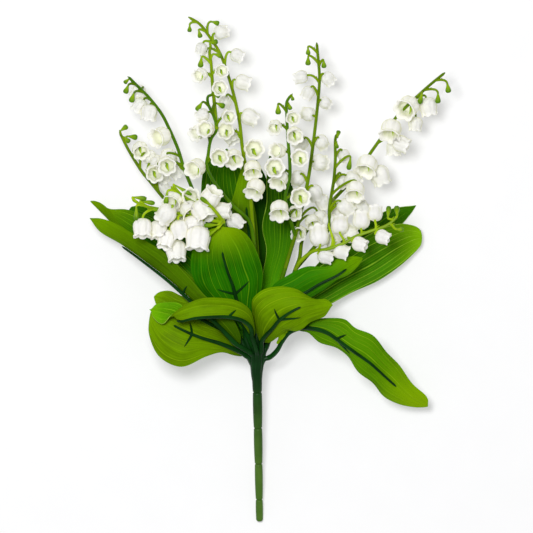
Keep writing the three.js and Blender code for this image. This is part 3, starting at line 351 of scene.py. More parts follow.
# Each blade hangs on three rails in mm: its near edge, its keel and its far edge. "shows" names the
# face of its near half that is seen from above, "under" and "upper" are its two colours, and
# "veins" is how many each half has. "socket" is how much of its stalk the crown hides. A rib ends
# at a share of the blade's length, and its barbs start at one. A barb's tip lies at another share
# of the length and at a share of the half width. Most blades have the usual rib end and barbs.
LEAVES = {
    "front_left": {
        "shows": "under", "under": "yellow_olive", "upper": "fresh", "socket": 11, "veins": 5,
        "barbs": (0.3, (0.28, -0.44), (0.36, 0.4)), "rib_end": 0.62,
        "stalk": [(-10, -58, 39), (-12, -51, 45)],
        "near": [(-11, -47, 46), (-12, -37, 51), (-15, -28, 54), (-23, -22, 54), (-36, -20, 56),
            (-50, -21, 57), (-62, -26, 58), (-70, -33, 57), (-76, -38, 53), (-82, -34, 49),
            (-84, -29, 47)],
        "keel": [(-13, -48, 45), (-14, -40, 50), (-20, -35, 55), (-30, -33, 59), (-42, -33, 61.5),
            (-54, -34, 61.5), (-64, -35, 59), (-69, -32, 54), (-76, -30, 50), (-81, -29, 48),
            (-85, -28, 47)],
        "far": [(-14, -47, 45), (-18, -40, 49), (-23, -34, 53), (-31, -30, 55), (-43, -32, 55),
            (-54, -34, 55), (-59, -30, 49), (-64, -24, 46), (-74, -23, 46), (-80, -24, 46),
            (-84, -28, 47)],
    },
    "lower_left": {
        "shows": "under", "under": "yellow_olive", "upper": "fresh", "socket": 9, "veins": 5,
        "barbs": (0.5, (0.54, -0.6), (0.56, 0.42)), "rib_end": 0.66,
        "stalk": [(-15, -62, 34)],
        "near": [(-19, -57, 34), (-27, -49, 34), (-37, -42, 36), (-50, -37, 38), (-59, -33, 41),
            (-69, -29, 41), (-77, -28, 40), (-83, -29, 39)],
        "keel": [(-20, -59, 35), (-27, -56, 38), (-37, -52, 42), (-50, -48, 46), (-61, -43, 48),
            (-72, -37, 47), (-79, -33, 44), (-84, -30, 40)],
        "far": [(-19, -61, 34), (-26, -60, 36), (-34, -58, 39), (-46, -61, 44), (-63, -68, 46),
            (-78, -61, 45), (-85, -46, 43), (-85, -32, 40)],
    },
    "long_left": {
        "shows": "under", "under": "dull_olive", "upper": "fresh", "socket": 10, "veins": 4,
        "barbs": (0.42, (0.46, -0.6), (0.5, 0.5)), "rib_end": 0.74,
        "stalk": [(-15, -58, 39)],
        "near": [(-20, -50, 46), (-24, -39, 48), (-32, -27, 50), (-44, -20, 50), (-56, -6, 47),
            (-74, 11, 43), (-93, 23, 36), (-113, 34, 27), (-126, 37, 20)],
        "keel": [(-22, -52, 44), (-30, -44, 46), (-41, -33, 47), (-55, -21, 44), (-71, -7, 38),
            (-88, 6, 33), (-105, 18, 27), (-120, 27, 22), (-127, 36, 19)],
        "far": [(-21, -50, 43), (-28, -40, 42), (-38, -27, 41), (-52, -16, 37), (-66, -2, 31),
            (-85, 14, 26), (-102, 23, 22), (-118, 31, 19), (-126, 35, 18)],
    },
    "back_left": {
        "shows": "under", "under": "olive", "upper": "grass", "socket": 10, "veins": 5,
        "stalk": [(-15, -59, 26)],
        "near": [(-18, -51, 30), (-29, -37, 29), (-42, -20, 27), (-57, -4, 24), (-74, 12, 20),
            (-91, 21, 16), (-105, 30, 11), (-116, 44, 4), (-124, 49, 0.6)],
        "keel": [(-19, -53, 28), (-32, -41, 25), (-48, -26, 21), (-65, -8, 17), (-83, 9, 13),
            (-99, 21, 10), (-113, 34, 5), (-122, 43, 1.8), (-127, 48, 0.3)],
        "far": [(-15, -49, 29), (-23, -34, 26), (-34, -16, 22), (-46, 3, 17), (-62, 21, 12),
            (-81, 34, 7), (-101, 42, 3), (-114, 43, 1.4), (-122, 48, 0.4)],
    },
    "under_left": {
        "shows": "upper", "under": "olive", "upper": "deep", "socket": 12, "veins": 4,
        "stalk": [(-13, -60, 24), (-15, -53, 17)],
        "near": [(-18, -45, 20), (-29, -32, 15), (-44, -14, 10), (-62, 5, 7), (-80, 22, 4),
            (-93, 33, 3), (-102, 42, 2)],
        "keel": [(-17, -45, 20), (-24, -30, 15), (-36, -11, 10), (-51, 10, 6), (-69, 28, 4),
            (-85, 40, 3), (-98, 44, 2)],
        "far": [(-15, -44, 20), (-19, -28, 15), (-27, -7, 10), (-41, 15, 6), (-58, 32, 4), (-74, 42, 3),
            (-94, 46, 2)],
    },
    "behind_left": {
        "shows": "under", "under": "yellow_olive", "upper": "fresh", "socket": 9, "veins": 4,
        "stalk": [(-15, -59, 31)],
        "near": [(-19, -50, 31), (-27, -39, 32), (-40, -28, 31), (-52, -21, 31), (-62, -19, 31),
            (-71, -15, 30), (-80, -16, 29)],
        "keel": [(-20, -52, 30), (-30, -45, 29), (-44, -37, 29), (-57, -30, 29), (-67, -25, 29),
            (-76, -21, 29), (-82, -19, 29)],
        "far": [(-21, -54, 29), (-31, -51, 28), (-47, -44, 28), (-60, -37, 28), (-71, -32, 28),
            (-78, -27, 28), (-82, -22, 29)],
    },
    "front_centre": {
        "shows": "under", "under": "grass", "upper": "fresh", "socket": 12, "veins": 4,
        "barbs": (0.34, (0.4, -0.44), (0.44, 0.52)), "rib_end": 0.72,
        "stalk": [(-13, -54, 37)],
        "near": [(-19, -44, 38), (-27, -34, 40), (-41, -23, 44), (-52, -11, 46), (-56, 3, 48),
            (-54, 16, 51), (-46, 26, 56), (-36, 30, 60)],
        "keel": [(-17, -44, 38), (-20, -34, 42), (-24, -21, 47), (-27, -10, 52), (-31, 1, 57),
            (-34, 12, 60), (-35, 22, 61), (-34, 30, 60.5)],
        "far": [(-15, -44, 39), (-13, -33, 43), (-8, -20, 45), (-6, -7, 47), (-7, 4, 49), (-13, 19, 52),
            (-22, 28, 56), (-33, 30, 60)],
    },
    "front_right": {
        "shows": "under", "under": "yellow_olive", "upper": "fresh", "socket": 10, "veins": 4,
        "barbs": (0.38, (0.4, -0.34), (0.56, 0.44)), "rib_end": 0.62,
        "stalk": [(-7, -58, 38)],
        "near": [(-8, -51, 40), (-10, -42, 43), (-13, -29, 48), (-13, -21, 54), (-5, -14, 56),
            (6, -12, 57), (18, -14, 57), (24, -17, 57), (31, -21, 56.5), (38, -21, 55.5), (42, -23, 54)],
        "keel": [(-6, -51, 41), (-4, -47, 45), (1, -41, 51), (6, -35, 56), (13, -30, 60), (21, -26, 62),
            (30, -24, 60), (38, -24, 57), (43, -25, 54)],
        "far": [(-4, -51, 42), (-1, -51, 44), (5, -47, 47), (11, -43, 49), (17, -43, 52), (22, -41, 54),
            (27, -37, 55), (32, -35, 55), (37, -33, 55), (40, -29, 54.5), (42, -26, 54)],
    },
    "tall_left": {
        "shows": "upper", "under": "olive", "upper": "deep", "socket": 13, "veins": 5,
        "stalk": [(-11, -56, 28), (-13, -48, 25)],
        "near": [(-17, -42, 26), (-23, -21, 23), (-32, 0, 19), (-41, 21, 15), (-48, 40, 11),
            (-49, 56, 8), (-46, 73, 4), (-34, 84, 0.6)],
        "keel": [(-15, -42, 26), (-16, -21, 23), (-20, 0, 19), (-24, 21, 15), (-29, 40, 11),
            (-34, 57, 8), (-34, 71, 3.5), (-31, 85, 0.3)],
        "far": [(-13, -42, 26), (-12, -21, 23), (-11, 0, 19), (-12, 21, 15), (-15, 40, 11),
            (-18, 57, 8), (-22, 72, 4), (-29, 84, 0.6)],
    },
    "tall_narrow": {
        "shows": "under", "under": "dull_olive", "upper": "deep", "socket": 14, "veins": 4,
        "stalk": [(-10, -53, 31), (-10, -47, 30)],
        "near": [(-13, -41, 28), (-16, -21, 26), (-20, 0, 24), (-24, 21, 22), (-29, 40, 19),
            (-25, 56, 17), (-20, 74, 14)],
        "keel": [(-11, -41, 29), (-12, -21, 27), (-13, 0, 25), (-15, 21, 23), (-17, 40, 20),
            (-18, 57, 17), (-19, 75, 14)],
        "far": [(-10, -41, 29), (-8, -21, 27), (-8, 0, 25), (-9, 21, 23), (-11, 40, 20), (-15, 57, 17),
            (-18, 74, 14)],
    },
    "tall_right": {
        "shows": "upper", "under": "olive", "upper": "mossy", "socket": 13, "veins": 5,
        "stalk": [(-8, -56, 28), (-7, -49, 25)],
        "near": [(-7, -42, 26), (-7, -21, 24), (-6, -4, 22), (-3, 14, 19), (-6, 30, 16), (-3, 47, 12),
            (-3, 64, 5), (-2, 79, 0.6)],
        "keel": [(-6, -42, 26), (-2, -21, 23), (1, -4, 20), (6, 14, 17), (7, 31, 14), (6, 49, 10),
            (4, 64, 4.5), (-1, 81, 0.3)],
        "far": [(-4, -42, 26), (4, -21, 24), (10, -4, 22), (15, 14, 19), (18, 31, 16), (17, 49, 12),
            (12, 66, 5), (1, 79, 0.6)],
    },
    "tall_back": {
        "shows": "upper", "under": "olive", "upper": "darkest", "socket": 13, "veins": 4,
        "stalk": [(-10, -58, 23), (-9, -49, 18)],
        "near": [(-10, -39, 21), (-13, -18, 16), (-15, 3, 12), (-17, 24, 9), (-18, 45, 6), (-16, 63, 3),
            (-12, 75, 0.8)],
        "keel": [(-9, -39, 21), (-9, -18, 16), (-8, 3, 12), (-8, 24, 9), (-9, 45, 6), (-10, 63, 3),
            (-10, 77, 0.5)],
        "far": [(-8, -39, 21), (-4, -18, 16), (-1, 3, 12), (1, 24, 9), (0, 45, 6), (-3, 63, 3),
            (-9, 75, 0.8)],
    },
    "broad_right": {
        "shows": "upper", "under": "olive", "upper": "broad", "socket": 12, "veins": 4,
        "stalk": [(-5, -58, 29), (-2, -51, 25)],
        "near": [(-1, -44, 28), (8, -23, 26), (20, -9, 24), (36, 3, 21), (55, 16, 18), (74, 27, 15),
            (91, 32, 12.5), (107, 29, 9.5)],
        "keel": [(0, -46, 27), (13, -30, 24), (31, -16, 21), (50, -4, 18), (69, 8, 15), (87, 18, 12),
            (99, 23, 9.5), (106, 23, 8.5)],
        "far": [(1, -47, 27), (18, -34, 24), (38, -26, 21), (57, -16, 18), (75, -8, 15), (91, 3, 12),
            (101, 12, 9.5), (107, 19, 8.5)],
    },
    "back_right": {
        "shows": "upper", "under": "olive", "upper": "deep", "socket": 12, "veins": 4,
        "stalk": [(-6, -57, 22), (-1, -47, 16)],
        "near": [(3, -37, 18), (15, -16, 13), (31, 2, 9), (48, 19, 6), (66, 32, 3.5), (83, 42, 1.8),
            (100, 45, 0.8)],
        "keel": [(4, -39, 18), (20, -20, 13), (38, -4, 9), (55, 12, 6), (73, 25, 3.5), (88, 37, 1.6),
            (102, 45, 0.3)],
        "far": [(6, -40, 18), (26, -23, 13), (46, -9, 9), (64, 5, 6), (80, 19, 3.5), (93, 33, 1.8),
            (102, 44, 0.6)],
    },
    "mid_right": {
        "shows": "under", "under": "saturated", "upper": "deep", "socket": 12, "veins": 4,
        "barbs": (0.12, (0.16, -0.34), (0.16, 0.34)),
        "stalk": [(-4, -56, 35), (-1, -47, 37)],
        "near": [(-2, -30, 40), (0, -13, 42), (12, -4, 43), (25, 2, 44), (39, 2, 45), (46, 7, 46),
            (55, 9, 45), (63, 9, 42)],
        "keel": [(0, -32, 40), (11, -23, 42), (24, -16, 43), (34, -10, 45), (46, -4, 46), (53, 1, 45),
            (59, 5, 43), (64, 8, 41)],
        "far": [(2, -33, 39), (16, -26, 40), (29, -19, 41), (38, -13, 42), (46, -7, 43), (54, -4, 42),
            (60, 2, 41), (64, 7, 40)],
    },
    "lower_right": {
        "shows": "under", "under": "mid_green", "upper": "fresh", "socket": 9, "veins": 5,
        "barbs": (0.295, (0.345, -0.42), (0.41, 0.38)), "rib_end": 0.77,
        "stalk": [(-2, -62, 32), (4, -57, 37), (8, -50, 42), (13, -44, 46)],
        "near": [(18, -38, 44), (30, -35, 45), (42, -34, 45), (52, -35, 45), (59, -41, 44.5),
            (71, -46, 43), (81, -58, 38), (90, -67, 33), (99, -80, 27), (109, -89, 21), (111, -95, 17)],
        "keel": [(18, -41, 44), (28, -41, 46), (39, -44, 47), (49, -51, 47), (59, -58, 45.5),
            (69, -65, 42), (79, -74, 37), (88, -82, 31), (99, -91, 23), (110, -96, 17)],
        "far": [(19, -43, 43), (26, -44, 44), (34, -51, 44), (46, -55, 44), (54, -61, 42),
            (61, -71, 38), (71, -79, 33), (79, -89, 27), (89, -94, 22.5), (98, -96, 19), (108, -97, 16)],
    },
}
BLADE_THICKNESS = 0.5
BLADE_BULGE = 0.1
BLADE_WAVE = 0.7
BLADE_WAVES = 2.5
BLADE_COLUMNS = 56
BLADE_ROWS = 72
BLADE_SHARP_ANGLE = 50
BUCKLES = 4
BUCKLE_SLANT = 1.7
VEIN_RELIEF = 0.14
VEIN_HALF_WIDTH = 0.25
VEIN_UNEVENNESS = 0.25
UNEVEN_RATE = 1.9
SLOW_WAVER = 0.1
SLOW_RATE = 8
QUICK_WAVER = 0.05
QUICK_RATE = 21
PLAIN_EDGE = 0.97
TIP_ROUNDING = 0.06
TIP_WIDTH = 0.12
BASE_ROUNDING = 0.05
BASE_WIDTH = 0.45
TABLE_CLEARANCE = 0.25
CLOUD_SCALE = 55.0
FIBRE_SCALE = 1400.0
WEAVE_DEPTH = 0.12 * MM
CLOTH_SHINE = 0.015
UNDER_VEINS = 0.45
UPPER_VEINS = 0.85

# Each cloth colour has the tones of its field, its veins, its base and its tip, and the shares of the
# blade's length where the base's tone ends and where the tip's tone sets in. The base's tone is mostly
# painted shade, darker near the crown; the mossy cloth's base is lighter, its own colour.
CLOTH_TONES = {
    "yellow_olive": ("648c00", "98bc14", "3c5c00", "74a000", 0.4, 0.78),
    "olive": ("548000", "84a810", "345600", "6c9400", 0.4, 0.78),
    "dull_olive": ("446a00", "6c900c", "2c4e00", "6c9800", 0.4, 0.6),
    "fresh": ("549800", "a0d024", "347800", "6ca800", 0.4, 0.78),
    "grass": ("206800", "7cac14", "145400", "789c00", 0.4, 0.55),
    "saturated": ("2c7400", "70a814", "206400", "6c9c00", 0.4, 0.35),
    "mid_green": ("4c8400", "a8cc24", "3c7000", "84ac00", 0.4, 0.55),
    "broad": ("387800", "a0cc34", "1c5000", "74a800", 0.4, 0.6),
    "deep": ("245c00", "78a814", "143c00", "2c6800", 0.4, 0.78),
    "mossy": ("184800", "78b014", "489400", "1c5000", 0.75, 0.9),
    # The darkest tones are painted shade, for the leaf that lies low behind the tall ones.
    "darkest": ("184400", "34680c", "0a2400", "205000", 0.4, 0.78),
}


def on_curve(points, share):
    """The place on a smooth centripetal curve through points, at a share of their count."""
    place = (len(points) - 1) * min(max(share, 0), 1)
    i = min(int(place), len(points) - 2)
    before = points[i - 1] if i > 0 else points[0] * 2 - points[1]
    start, end = points[i], points[i + 1]
    after = points[i + 2] if i + 2 < len(points) else points[-1] * 2 - points[-2]
    steps = ((before, start), (start, end), (end, after))
    a, b, c = (max((last - first).length, 1e-6) ** 0.5 for first, last in steps)
    leaving = ((start - before) / a - (end - before) / (a + b) + (end - start) / b) * b
    arriving = ((end - start) / b - (after - start) / (b + c) + (after - end) / c) * b
    u = place - i
    curve = start + leaving * u + (3 * (end - start) - 2 * leaving - arriving) * u**2
    return curve + (2 * (start - end) + leaving + arriving) * u**3


class BladeSurface:
    """A blade's middle surface. s runs from base to tip, and t from the near to the far edge."""

    def __init__(self, leaf):
        self.rails = [[Vector(p) for p in leaf[rail]] for rail in ("near", "keel", "far")]
        self.known = {}
        self.turn = 1
        faces_up = math.copysign(1, self.under(0.45, -0.5).z)
        self.turn = faces_up if leaf["shows"] == "under" else -faces_up

    def rails_at(self, s):
        if s not in self.known:
            self.known[s] = [on_curve(rail, s) for rail in self.rails]
        return self.known[s]

    def flat(self, s, t):
        near, keel, far = self.rails_at(s)
        return keel.lerp(near if t < 0 else far, abs(t))

    def under(self, s, t):
        """The way that the blade's underside faces."""
        along = self.flat(min(1, s + 0.02), t) - self.flat(max(0, s - 0.02), t)
        across = self.flat(s, min(1, t + 0.2)) - self.flat(s, max(-1, t - 0.2))
        return along.cross(across).normalized() * self.turn

    def at(self, s, t):
        near, keel, far = self.rails_at(s)
        half_width = ((near if t < 0 else far) - keel).length
        belly = BLADE_BULGE * half_width * 4 * abs(t) * (1 - abs(t))
        ripple = BLADE_WAVE * t * t * math.sin(2 * math.pi * BLADE_WAVES * s) * math.sin(math.pi * s)
        return self.flat(s, t) + self.under(s, t) * (belly + ripple)


def rounded_share(s):
    """How much of its width a blade has, which is less at its rounded tip and base."""
    tip = min(1, (1 - s) / TIP_ROUNDING)
    base = min(1, s / BASE_ROUNDING)
    return max(TIP_WIDTH, (1 - (1 - tip) ** 2) ** 0.5) * max(BASE_WIDTH, (1 - (1 - base) ** 2) ** 0.5)


def vein_place(s, t, count, drift):
    """Where a spot lies among the veins of its half, which are at the whole numbers and waver."""
    evenly = abs(t) * count
    uneven = VEIN_UNEVENNESS * math.sin(UNEVEN_RATE * evenly + drift[0] + math.copysign(1, t))
    waver = SLOW_WAVER * math.sin(SLOW_RATE * s + drift[1] + evenly)
    waver += QUICK_WAVER * math.sin(QUICK_RATE * s + drift[0] - evenly)
    return evenly + uneven + waver * min(1, 3 * abs(t))


def vein_ridge(s, t, place):
    """The height of the raised veins, which fade out at both ends of the blade."""
    off_vein = abs(place - round(place))
    ridge = max(0, 1 - off_vein / VEIN_HALF_WIDTH) if abs(t) < PLAIN_EDGE else 0
    return VEIN_RELIEF * ridge * math.sin(math.pi * min(1, s * 1.02)) ** 0.4


def veined_cloth():
    """The look of pressed leaf cloth: pale veins along it, a mottled field, a base tone that is mostly
    painted shade, and a tip tone.
    """
    inputs = {"Blade Place": "Vector", "Vein Place": "Float", "Place": "Vector"}
    inputs |= {label: "Color" for label in ("Field", "Veins", "Base", "Tip")}
    inputs |= {label: "Float" for label in ("Base End", "Tip Start", "Vein Strength")}
    tree, given, results = node_group("veined_cloth", inputs)
    length_way = add_node(tree, "ShaderNodeSeparateXYZ", {"Vector": given["Blade Place"]}).outputs["Y"]
    clouds = noise(tree, given["Place"], CLOUD_SCALE, 4.0)
    fibres = noise(tree, given["Place"], FIBRE_SCALE, 2.0)

    def streaked(across, along):
        """A noise that is drawn out along the blade."""
        x = reckoned(tree, "MULTIPLY", given["Vein Place"], across)
        y = reckoned(tree, "MULTIPLY", length_way, along)
        return noise(tree, add_node(tree, "ShaderNodeCombineXYZ", {"X": x, "Y": y}).outputs[0], 1.0, 3.0)

    def vein_mask(count, low, high):
        """The lines where the veins are, some count of them to each raised one."""
        turns = reckoned(tree, "FRACT", reckoned(tree, "MULTIPLY", given["Vein Place"], count))
        on_vein = reckoned(tree, "ABSOLUTE", reckoned(tree, "MULTIPLY_ADD", turns, 2.0, -1.0))
        return ramped(tree, on_vein, low, high)

    def lit(value, colour):
        """A colour made lighter or darker."""
        inputs = {"Value": value, "Color": colour}
        return add_node(tree, "ShaderNodeHueSaturation", inputs).outputs[0]

    strength = ramped(tree, streaked(0.8, 6.0), 0.35, 0.55, 0.5, 1.0)
    main_veins = reckoned(tree, "MULTIPLY", vein_mask(1.0, 0.84, 0.98), strength)
    fine_veins = reckoned(tree, "MULTIPLY", vein_mask(4.0, 0.3, 0.95), 0.17)
    veins = reckoned(tree, "MAXIMUM", main_veins, fine_veins)
    tones = reckoned(tree, "MULTIPLY_ADD", clouds, 0.5, reckoned(tree, "MULTIPLY", streaked(2.3, 4.0), 0.5))
    field = mixed(tree, ramped(tree, tones, 0.38, 0.58), lit(0.72, given["Field"]), given["Field"])
    wander = reckoned(tree, "MULTIPLY_ADD", clouds, 0.05, -0.025)
    along = reckoned(tree, "ADD", length_way, wander)
    # The base tone fades out along the blade by the Base End; on most cloths it is painted shade, darker
    # towards the crown.
    field = mixed(tree, ramped(tree, along, 0.02, given["Base End"], 1.0, 0.0), field, given["Base"])
    field = mixed(tree, ramped(tree, along, given["Tip Start"], 1.0), field, given["Tip"])
    drawn = reckoned(tree, "MULTIPLY", veins, given["Vein Strength"])
    weave = reckoned(tree, "MULTIPLY_ADD", fibres, 0.24, 0.88)
    feed(tree, lit(weave, mixed(tree, drawn, field, given["Veins"])), results["Colour"])
    feed(tree, reckoned(tree, "MULTIPLY_ADD", clouds, 0.25, 0.4), results["Roughness"])
    feed(tree, reckoned(tree, "MULTIPLY_ADD", fibres, 0.35, veins), results["Height"])
    return tree


VEINED_CLOTH = veined_cloth()


def read_attribute(tree, name):
    """What a piece's own attribute says at each spot."""
    return add_node(tree, "ShaderNodeAttribute", attribute_name=name).outputs["Fac"]


def leaf_cloth(name, tones, vein_strength):
    """One face of the cloth, from its colour and from how much its veins show."""
    material, tree, shader = new_material(name)
    places = add_node(tree, "ShaderNodeTexCoord").outputs
    *codes, base_end, tip_start = CLOTH_TONES[tones]
    inputs = {"Blade Place": places["UV"], "Place": places["Object"], "Vein Strength": vein_strength}
    inputs |= {"Vein Place": read_attribute(tree, "vein"), "Base End": base_end, "Tip Start": tip_start}
    inputs |= {label: tint(code) for label, code in zip(("Field", "Veins", "Base", "Tip"), codes)}
    cloth = add_node(tree, "ShaderNodeGroup", inputs, node_tree=VEINED_CLOTH)
    covered(tree, shader, cloth, WEAVE_DEPTH, CLOTH_SHINE)
    return material


CLOTH_FACES = {
    tones: (
        leaf_cloth(f"cloth_{tones}_under", tones, UNDER_VEINS),
        leaf_cloth(f"cloth_{tones}_upper", tones, UPPER_VEINS),
    )
    for tones in CLOTH_TONES
}
cut_edge = moulded("cut_edge", ("98bc40", "7ca424"), 200.0, (0.5, 0.65), 0.1)


def thickened(piece, thickness, materials, offset=0):
    """Gives a thin skin its wall, with the materials of its outside, its inside and its rim."""
    select_only(piece)
    for material in materials:
        piece.data.materials.append(material)
    wall = piece.modifiers.new("wall", "SOLIDIFY")
    wall.thickness = thickness * MM
    wall.offset = offset
    wall.material_offset = 1
    wall.material_offset_rim = 2
    bpy.ops.object.modifier_apply(modifier=wall.name)


def pressed_blade(name, leaf, chance):
    """A grid laid on the blade's surface, with its veins, its soft buckles and its thickness."""
    surface = BladeSurface(leaf)
    select_only()
    bpy.ops.mesh.primitive_grid_add(x_subdivisions=BLADE_COLUMNS, y_subdivisions=BLADE_ROWS, size=2)
    piece = bpy.context.object
    piece.name = piece.data.name = name
    buckles = [
        (chance.uniform(1, 5), chance.uniform(0, 6.3), chance.uniform(0.05, 0.22)) for _ in range(BUCKLES)
    ]
    drift = (chance.uniform(0, 6.3), chance.uniform(0, 6.3))
    vein_places = piece.data.attributes.new("vein", "FLOAT", "POINT")
    for corner, vein in zip(piece.data.vertices, vein_places.data):
        t, s = round(corner.co.x, 5), round((corner.co.y + 1) / 2, 5)
        t_in = t * rounded_share(s)
        buckle = sum(
            depth * math.sin(2 * math.pi * rate * s + start + BUCKLE_SLANT * t)
            for rate, start, depth in buckles
        )
        buckle *= abs(t) * math.sin(math.pi * s)
        vein.value = vein_place(s, t, leaf["veins"], drift)
        spot = surface.at(s, t_in) + surface.under(s, t_in) * (vein_ridge(s, t, vein.value) + buckle)
        spot.z = max(spot.z, BLADE_THICKNESS / 2 + TABLE_CLEARANCE)
        corner.co = spot * MM
    bpy.ops.object.mode_set(mode="EDIT")
    bpy.ops.mesh.select_all(action="SELECT")
    if surface.turn > 0:
        bpy.ops.mesh.flip_normals()
    bpy.ops.object.mode_set(mode="OBJECT")
    cloth = (CLOTH_FACES[leaf["under"]][0], CLOTH_FACES[leaf["upper"]][1], cut_edge)
    thickened(piece, BLADE_THICKNESS, cloth)
    bpy.ops.object.shade_smooth_by_angle(angle=math.radians(BLADE_SHARP_ANGLE))
    return piece


chance = random.Random(16)
for name, leaf in LEAVES.items():
    blade = pressed_blade(f"blade_{name}", leaf, chance)
    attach(blade, "root")
    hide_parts(f"leaf_{name}")

# Tab
# The front right blade has a small pointed tab, cut from the same cloth, that hangs off its lower
# edge near the crown.

TAB = {
    "shows": "under", "under": "yellow_olive", "upper": "fresh", "veins": 1,
    "near": [(6.5, -40, 46.5), (5.5, -47, 46), (3.9, -51.6, 44.5)],
    "keel": [(8.6, -42, 47), (7, -47.4, 46.3), (4.2, -52, 44.5)],
    "far": [(13, -42, 46.5), (8.6, -47.8, 46), (4.7, -52.2, 44.5)],
}
tab = pressed_blade("tab_front_right", TAB, chance)
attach(tab, "root")
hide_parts("leaf_front_right")

# Ribs
# Every blade is held by a moulded stalk, plugged into the crown, that runs on as a rib under the
# keel. A pair of barbs on the rib grips the cloth. They are satin and nearly black green.

STALK_ROOT_RADIUS = 1.85
RIB_END_RADIUS = 0.75
RIB_START = 0.03
RIB_STEPS = 14
RIB_GAP = 0.05
USUAL_RIB_END = 0.7
BARB_RADIUS = 0.85
BARB_TAPER = {0: 1, 0.35: 0.95, 0.7: 0.7, 1: 0.2}
USUAL_BARBS = (0.42, (0.54, -0.34), (0.54, 0.34))
CROWN_MIDDLE = Vector((-10, -63, 32))
STALK_STEPS = 60
ROUNDED_END = 0.35


def rods(name, runs, roundness=2):
    """Moulded rods in one piece: each a row of points, their radii in mm and its material's place."""
    select_only()
    bpy.ops.curve.primitive_nurbs_path_add()
    piece = bpy.context.object
    piece.name = name
    curve = piece.data
    curve.splines.clear()
    for _ in range(1 + max(place for _, _, place in runs)):
        curve.materials.append(None)
    for points, radii, place in runs:
        run = curve.splines.new("POLY")
        run.material_index = place
        run.points.add(len(points) - 1)
        for knot, point, radius in zip(run.points, points, radii):
            knot.co = (*(point * MM), 1)
            knot.radius = radius
    curve.bevel_depth = MM
    curve.bevel_resolution = roundness
    curve.use_fill_caps = True
    bpy.ops.object.convert(target="MESH")
    piece.data.name = name
    bpy.ops.object.mode_set(mode="EDIT")
    bpy.ops.mesh.select_all(action="SELECT")
    bpy.ops.mesh.remove_doubles(threshold=0.002 * MM)
    bpy.ops.mesh.normals_make_consistent(inside=False)
    bpy.ops.object.mode_set(mode="OBJECT")
    return piece


def smooth_run(points, steps):
    """Evenly spaced points on the smooth curve through a few points."""
    count = 12 * len(points)
    fine = [on_curve(points, k / count) for k in range(count + 1)]
    passed = [0.0]
    for a, b in zip(fine, fine[1:]):
        passed.append(passed[-1] + (b - a).length)
    run, i = [], 0
    for k in range(steps + 1):
        target = passed[-1] * k / steps
        while i + 2 < len(fine) and passed[i + 1] < target:
            i += 1
        run.append(fine[i].lerp(fine[i + 1], (target - passed[i]) / max(passed[i + 1] - passed[i], 1e-9)))
    return run


def past(points, length):
    """The stretch of a row of points that lies past a length from its start."""
    left = length
    for i, (a, b) in enumerate(zip(points, points[1:])):
        if left <= (b - a).length:
            return [a.lerp(b, left / (b - a).length), *points[i + 1 :]]
        left -= (b - a).length
    return points[-2:]


def tapered(points, root, end, last=ROUNDED_END):
    """The radius at each point of a rod that tapers, with the share that its last point keeps."""
    count = len(points) - 1
    return [root + (end - root) * k / count for k in range(count)] + [end * last]


def rib_points(leaf, surface):
    """The rod's way from the crown to the blade and on under its keel."""
    points = [CROWN_MIDDLE, *(Vector(p) for p in leaf["stalk"])]
    for k in range(RIB_STEPS + 1):
        s = RIB_START + (leaf.get("rib_end", USUAL_RIB_END) - RIB_START) * k / RIB_STEPS
        radius = STALK_ROOT_RADIUS + (RIB_END_RADIUS - STALK_ROOT_RADIUS) * s
        points.append(surface.at(s, 0) + surface.under(s, 0) * (BLADE_THICKNESS / 2 + RIB_GAP + radius))
    return points


def barb_points(surface, start, tip):
    """A barb that slants from the rib to its tip under one half of the blade."""
    points = []
    for u in BARB_TAPER:
        s, t = start + (tip[0] - start) * u, tip[1] * u
        lift = BLADE_THICKNESS / 2 + RIB_GAP + BARB_RADIUS * (1 - 0.5 * u)
        points.append(surface.at(s, t) + surface.under(s, t) * lift)
    return points


rib_plastic = moulded("rib_plastic", ("042c04", "083c08"), 90.0, (0.34, 0.5), 0.12)
stalk_runs = {}
for name, leaf in LEAVES.items():
    surface = BladeSurface(leaf)
    stalk_runs[name] = smooth_run(rib_points(leaf, surface), STALK_STEPS)
    shown = past(stalk_runs[name], leaf["socket"] - 1)
    runs = [(shown, tapered(shown, STALK_ROOT_RADIUS, RIB_END_RADIUS), 0)]
    start, *tips = leaf.get("barbs", USUAL_BARBS)
    for tip in tips:
        radii = [BARB_RADIUS * share for share in BARB_TAPER.values()]
        runs.append((barb_points(surface, start, tip), radii, 0))
    rib = rods(f"rib_{name}", runs)
    finished(rib, [rib_plastic])
    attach(rib, "root")
    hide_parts(f"stalk_{name}")

# Flower stems
# Each of the five branches is one soft green moulding: a trunk plugged into the crown, two or three
# sprays that fork from it, and along them arched pedicels, each with a thin spike of a bract.

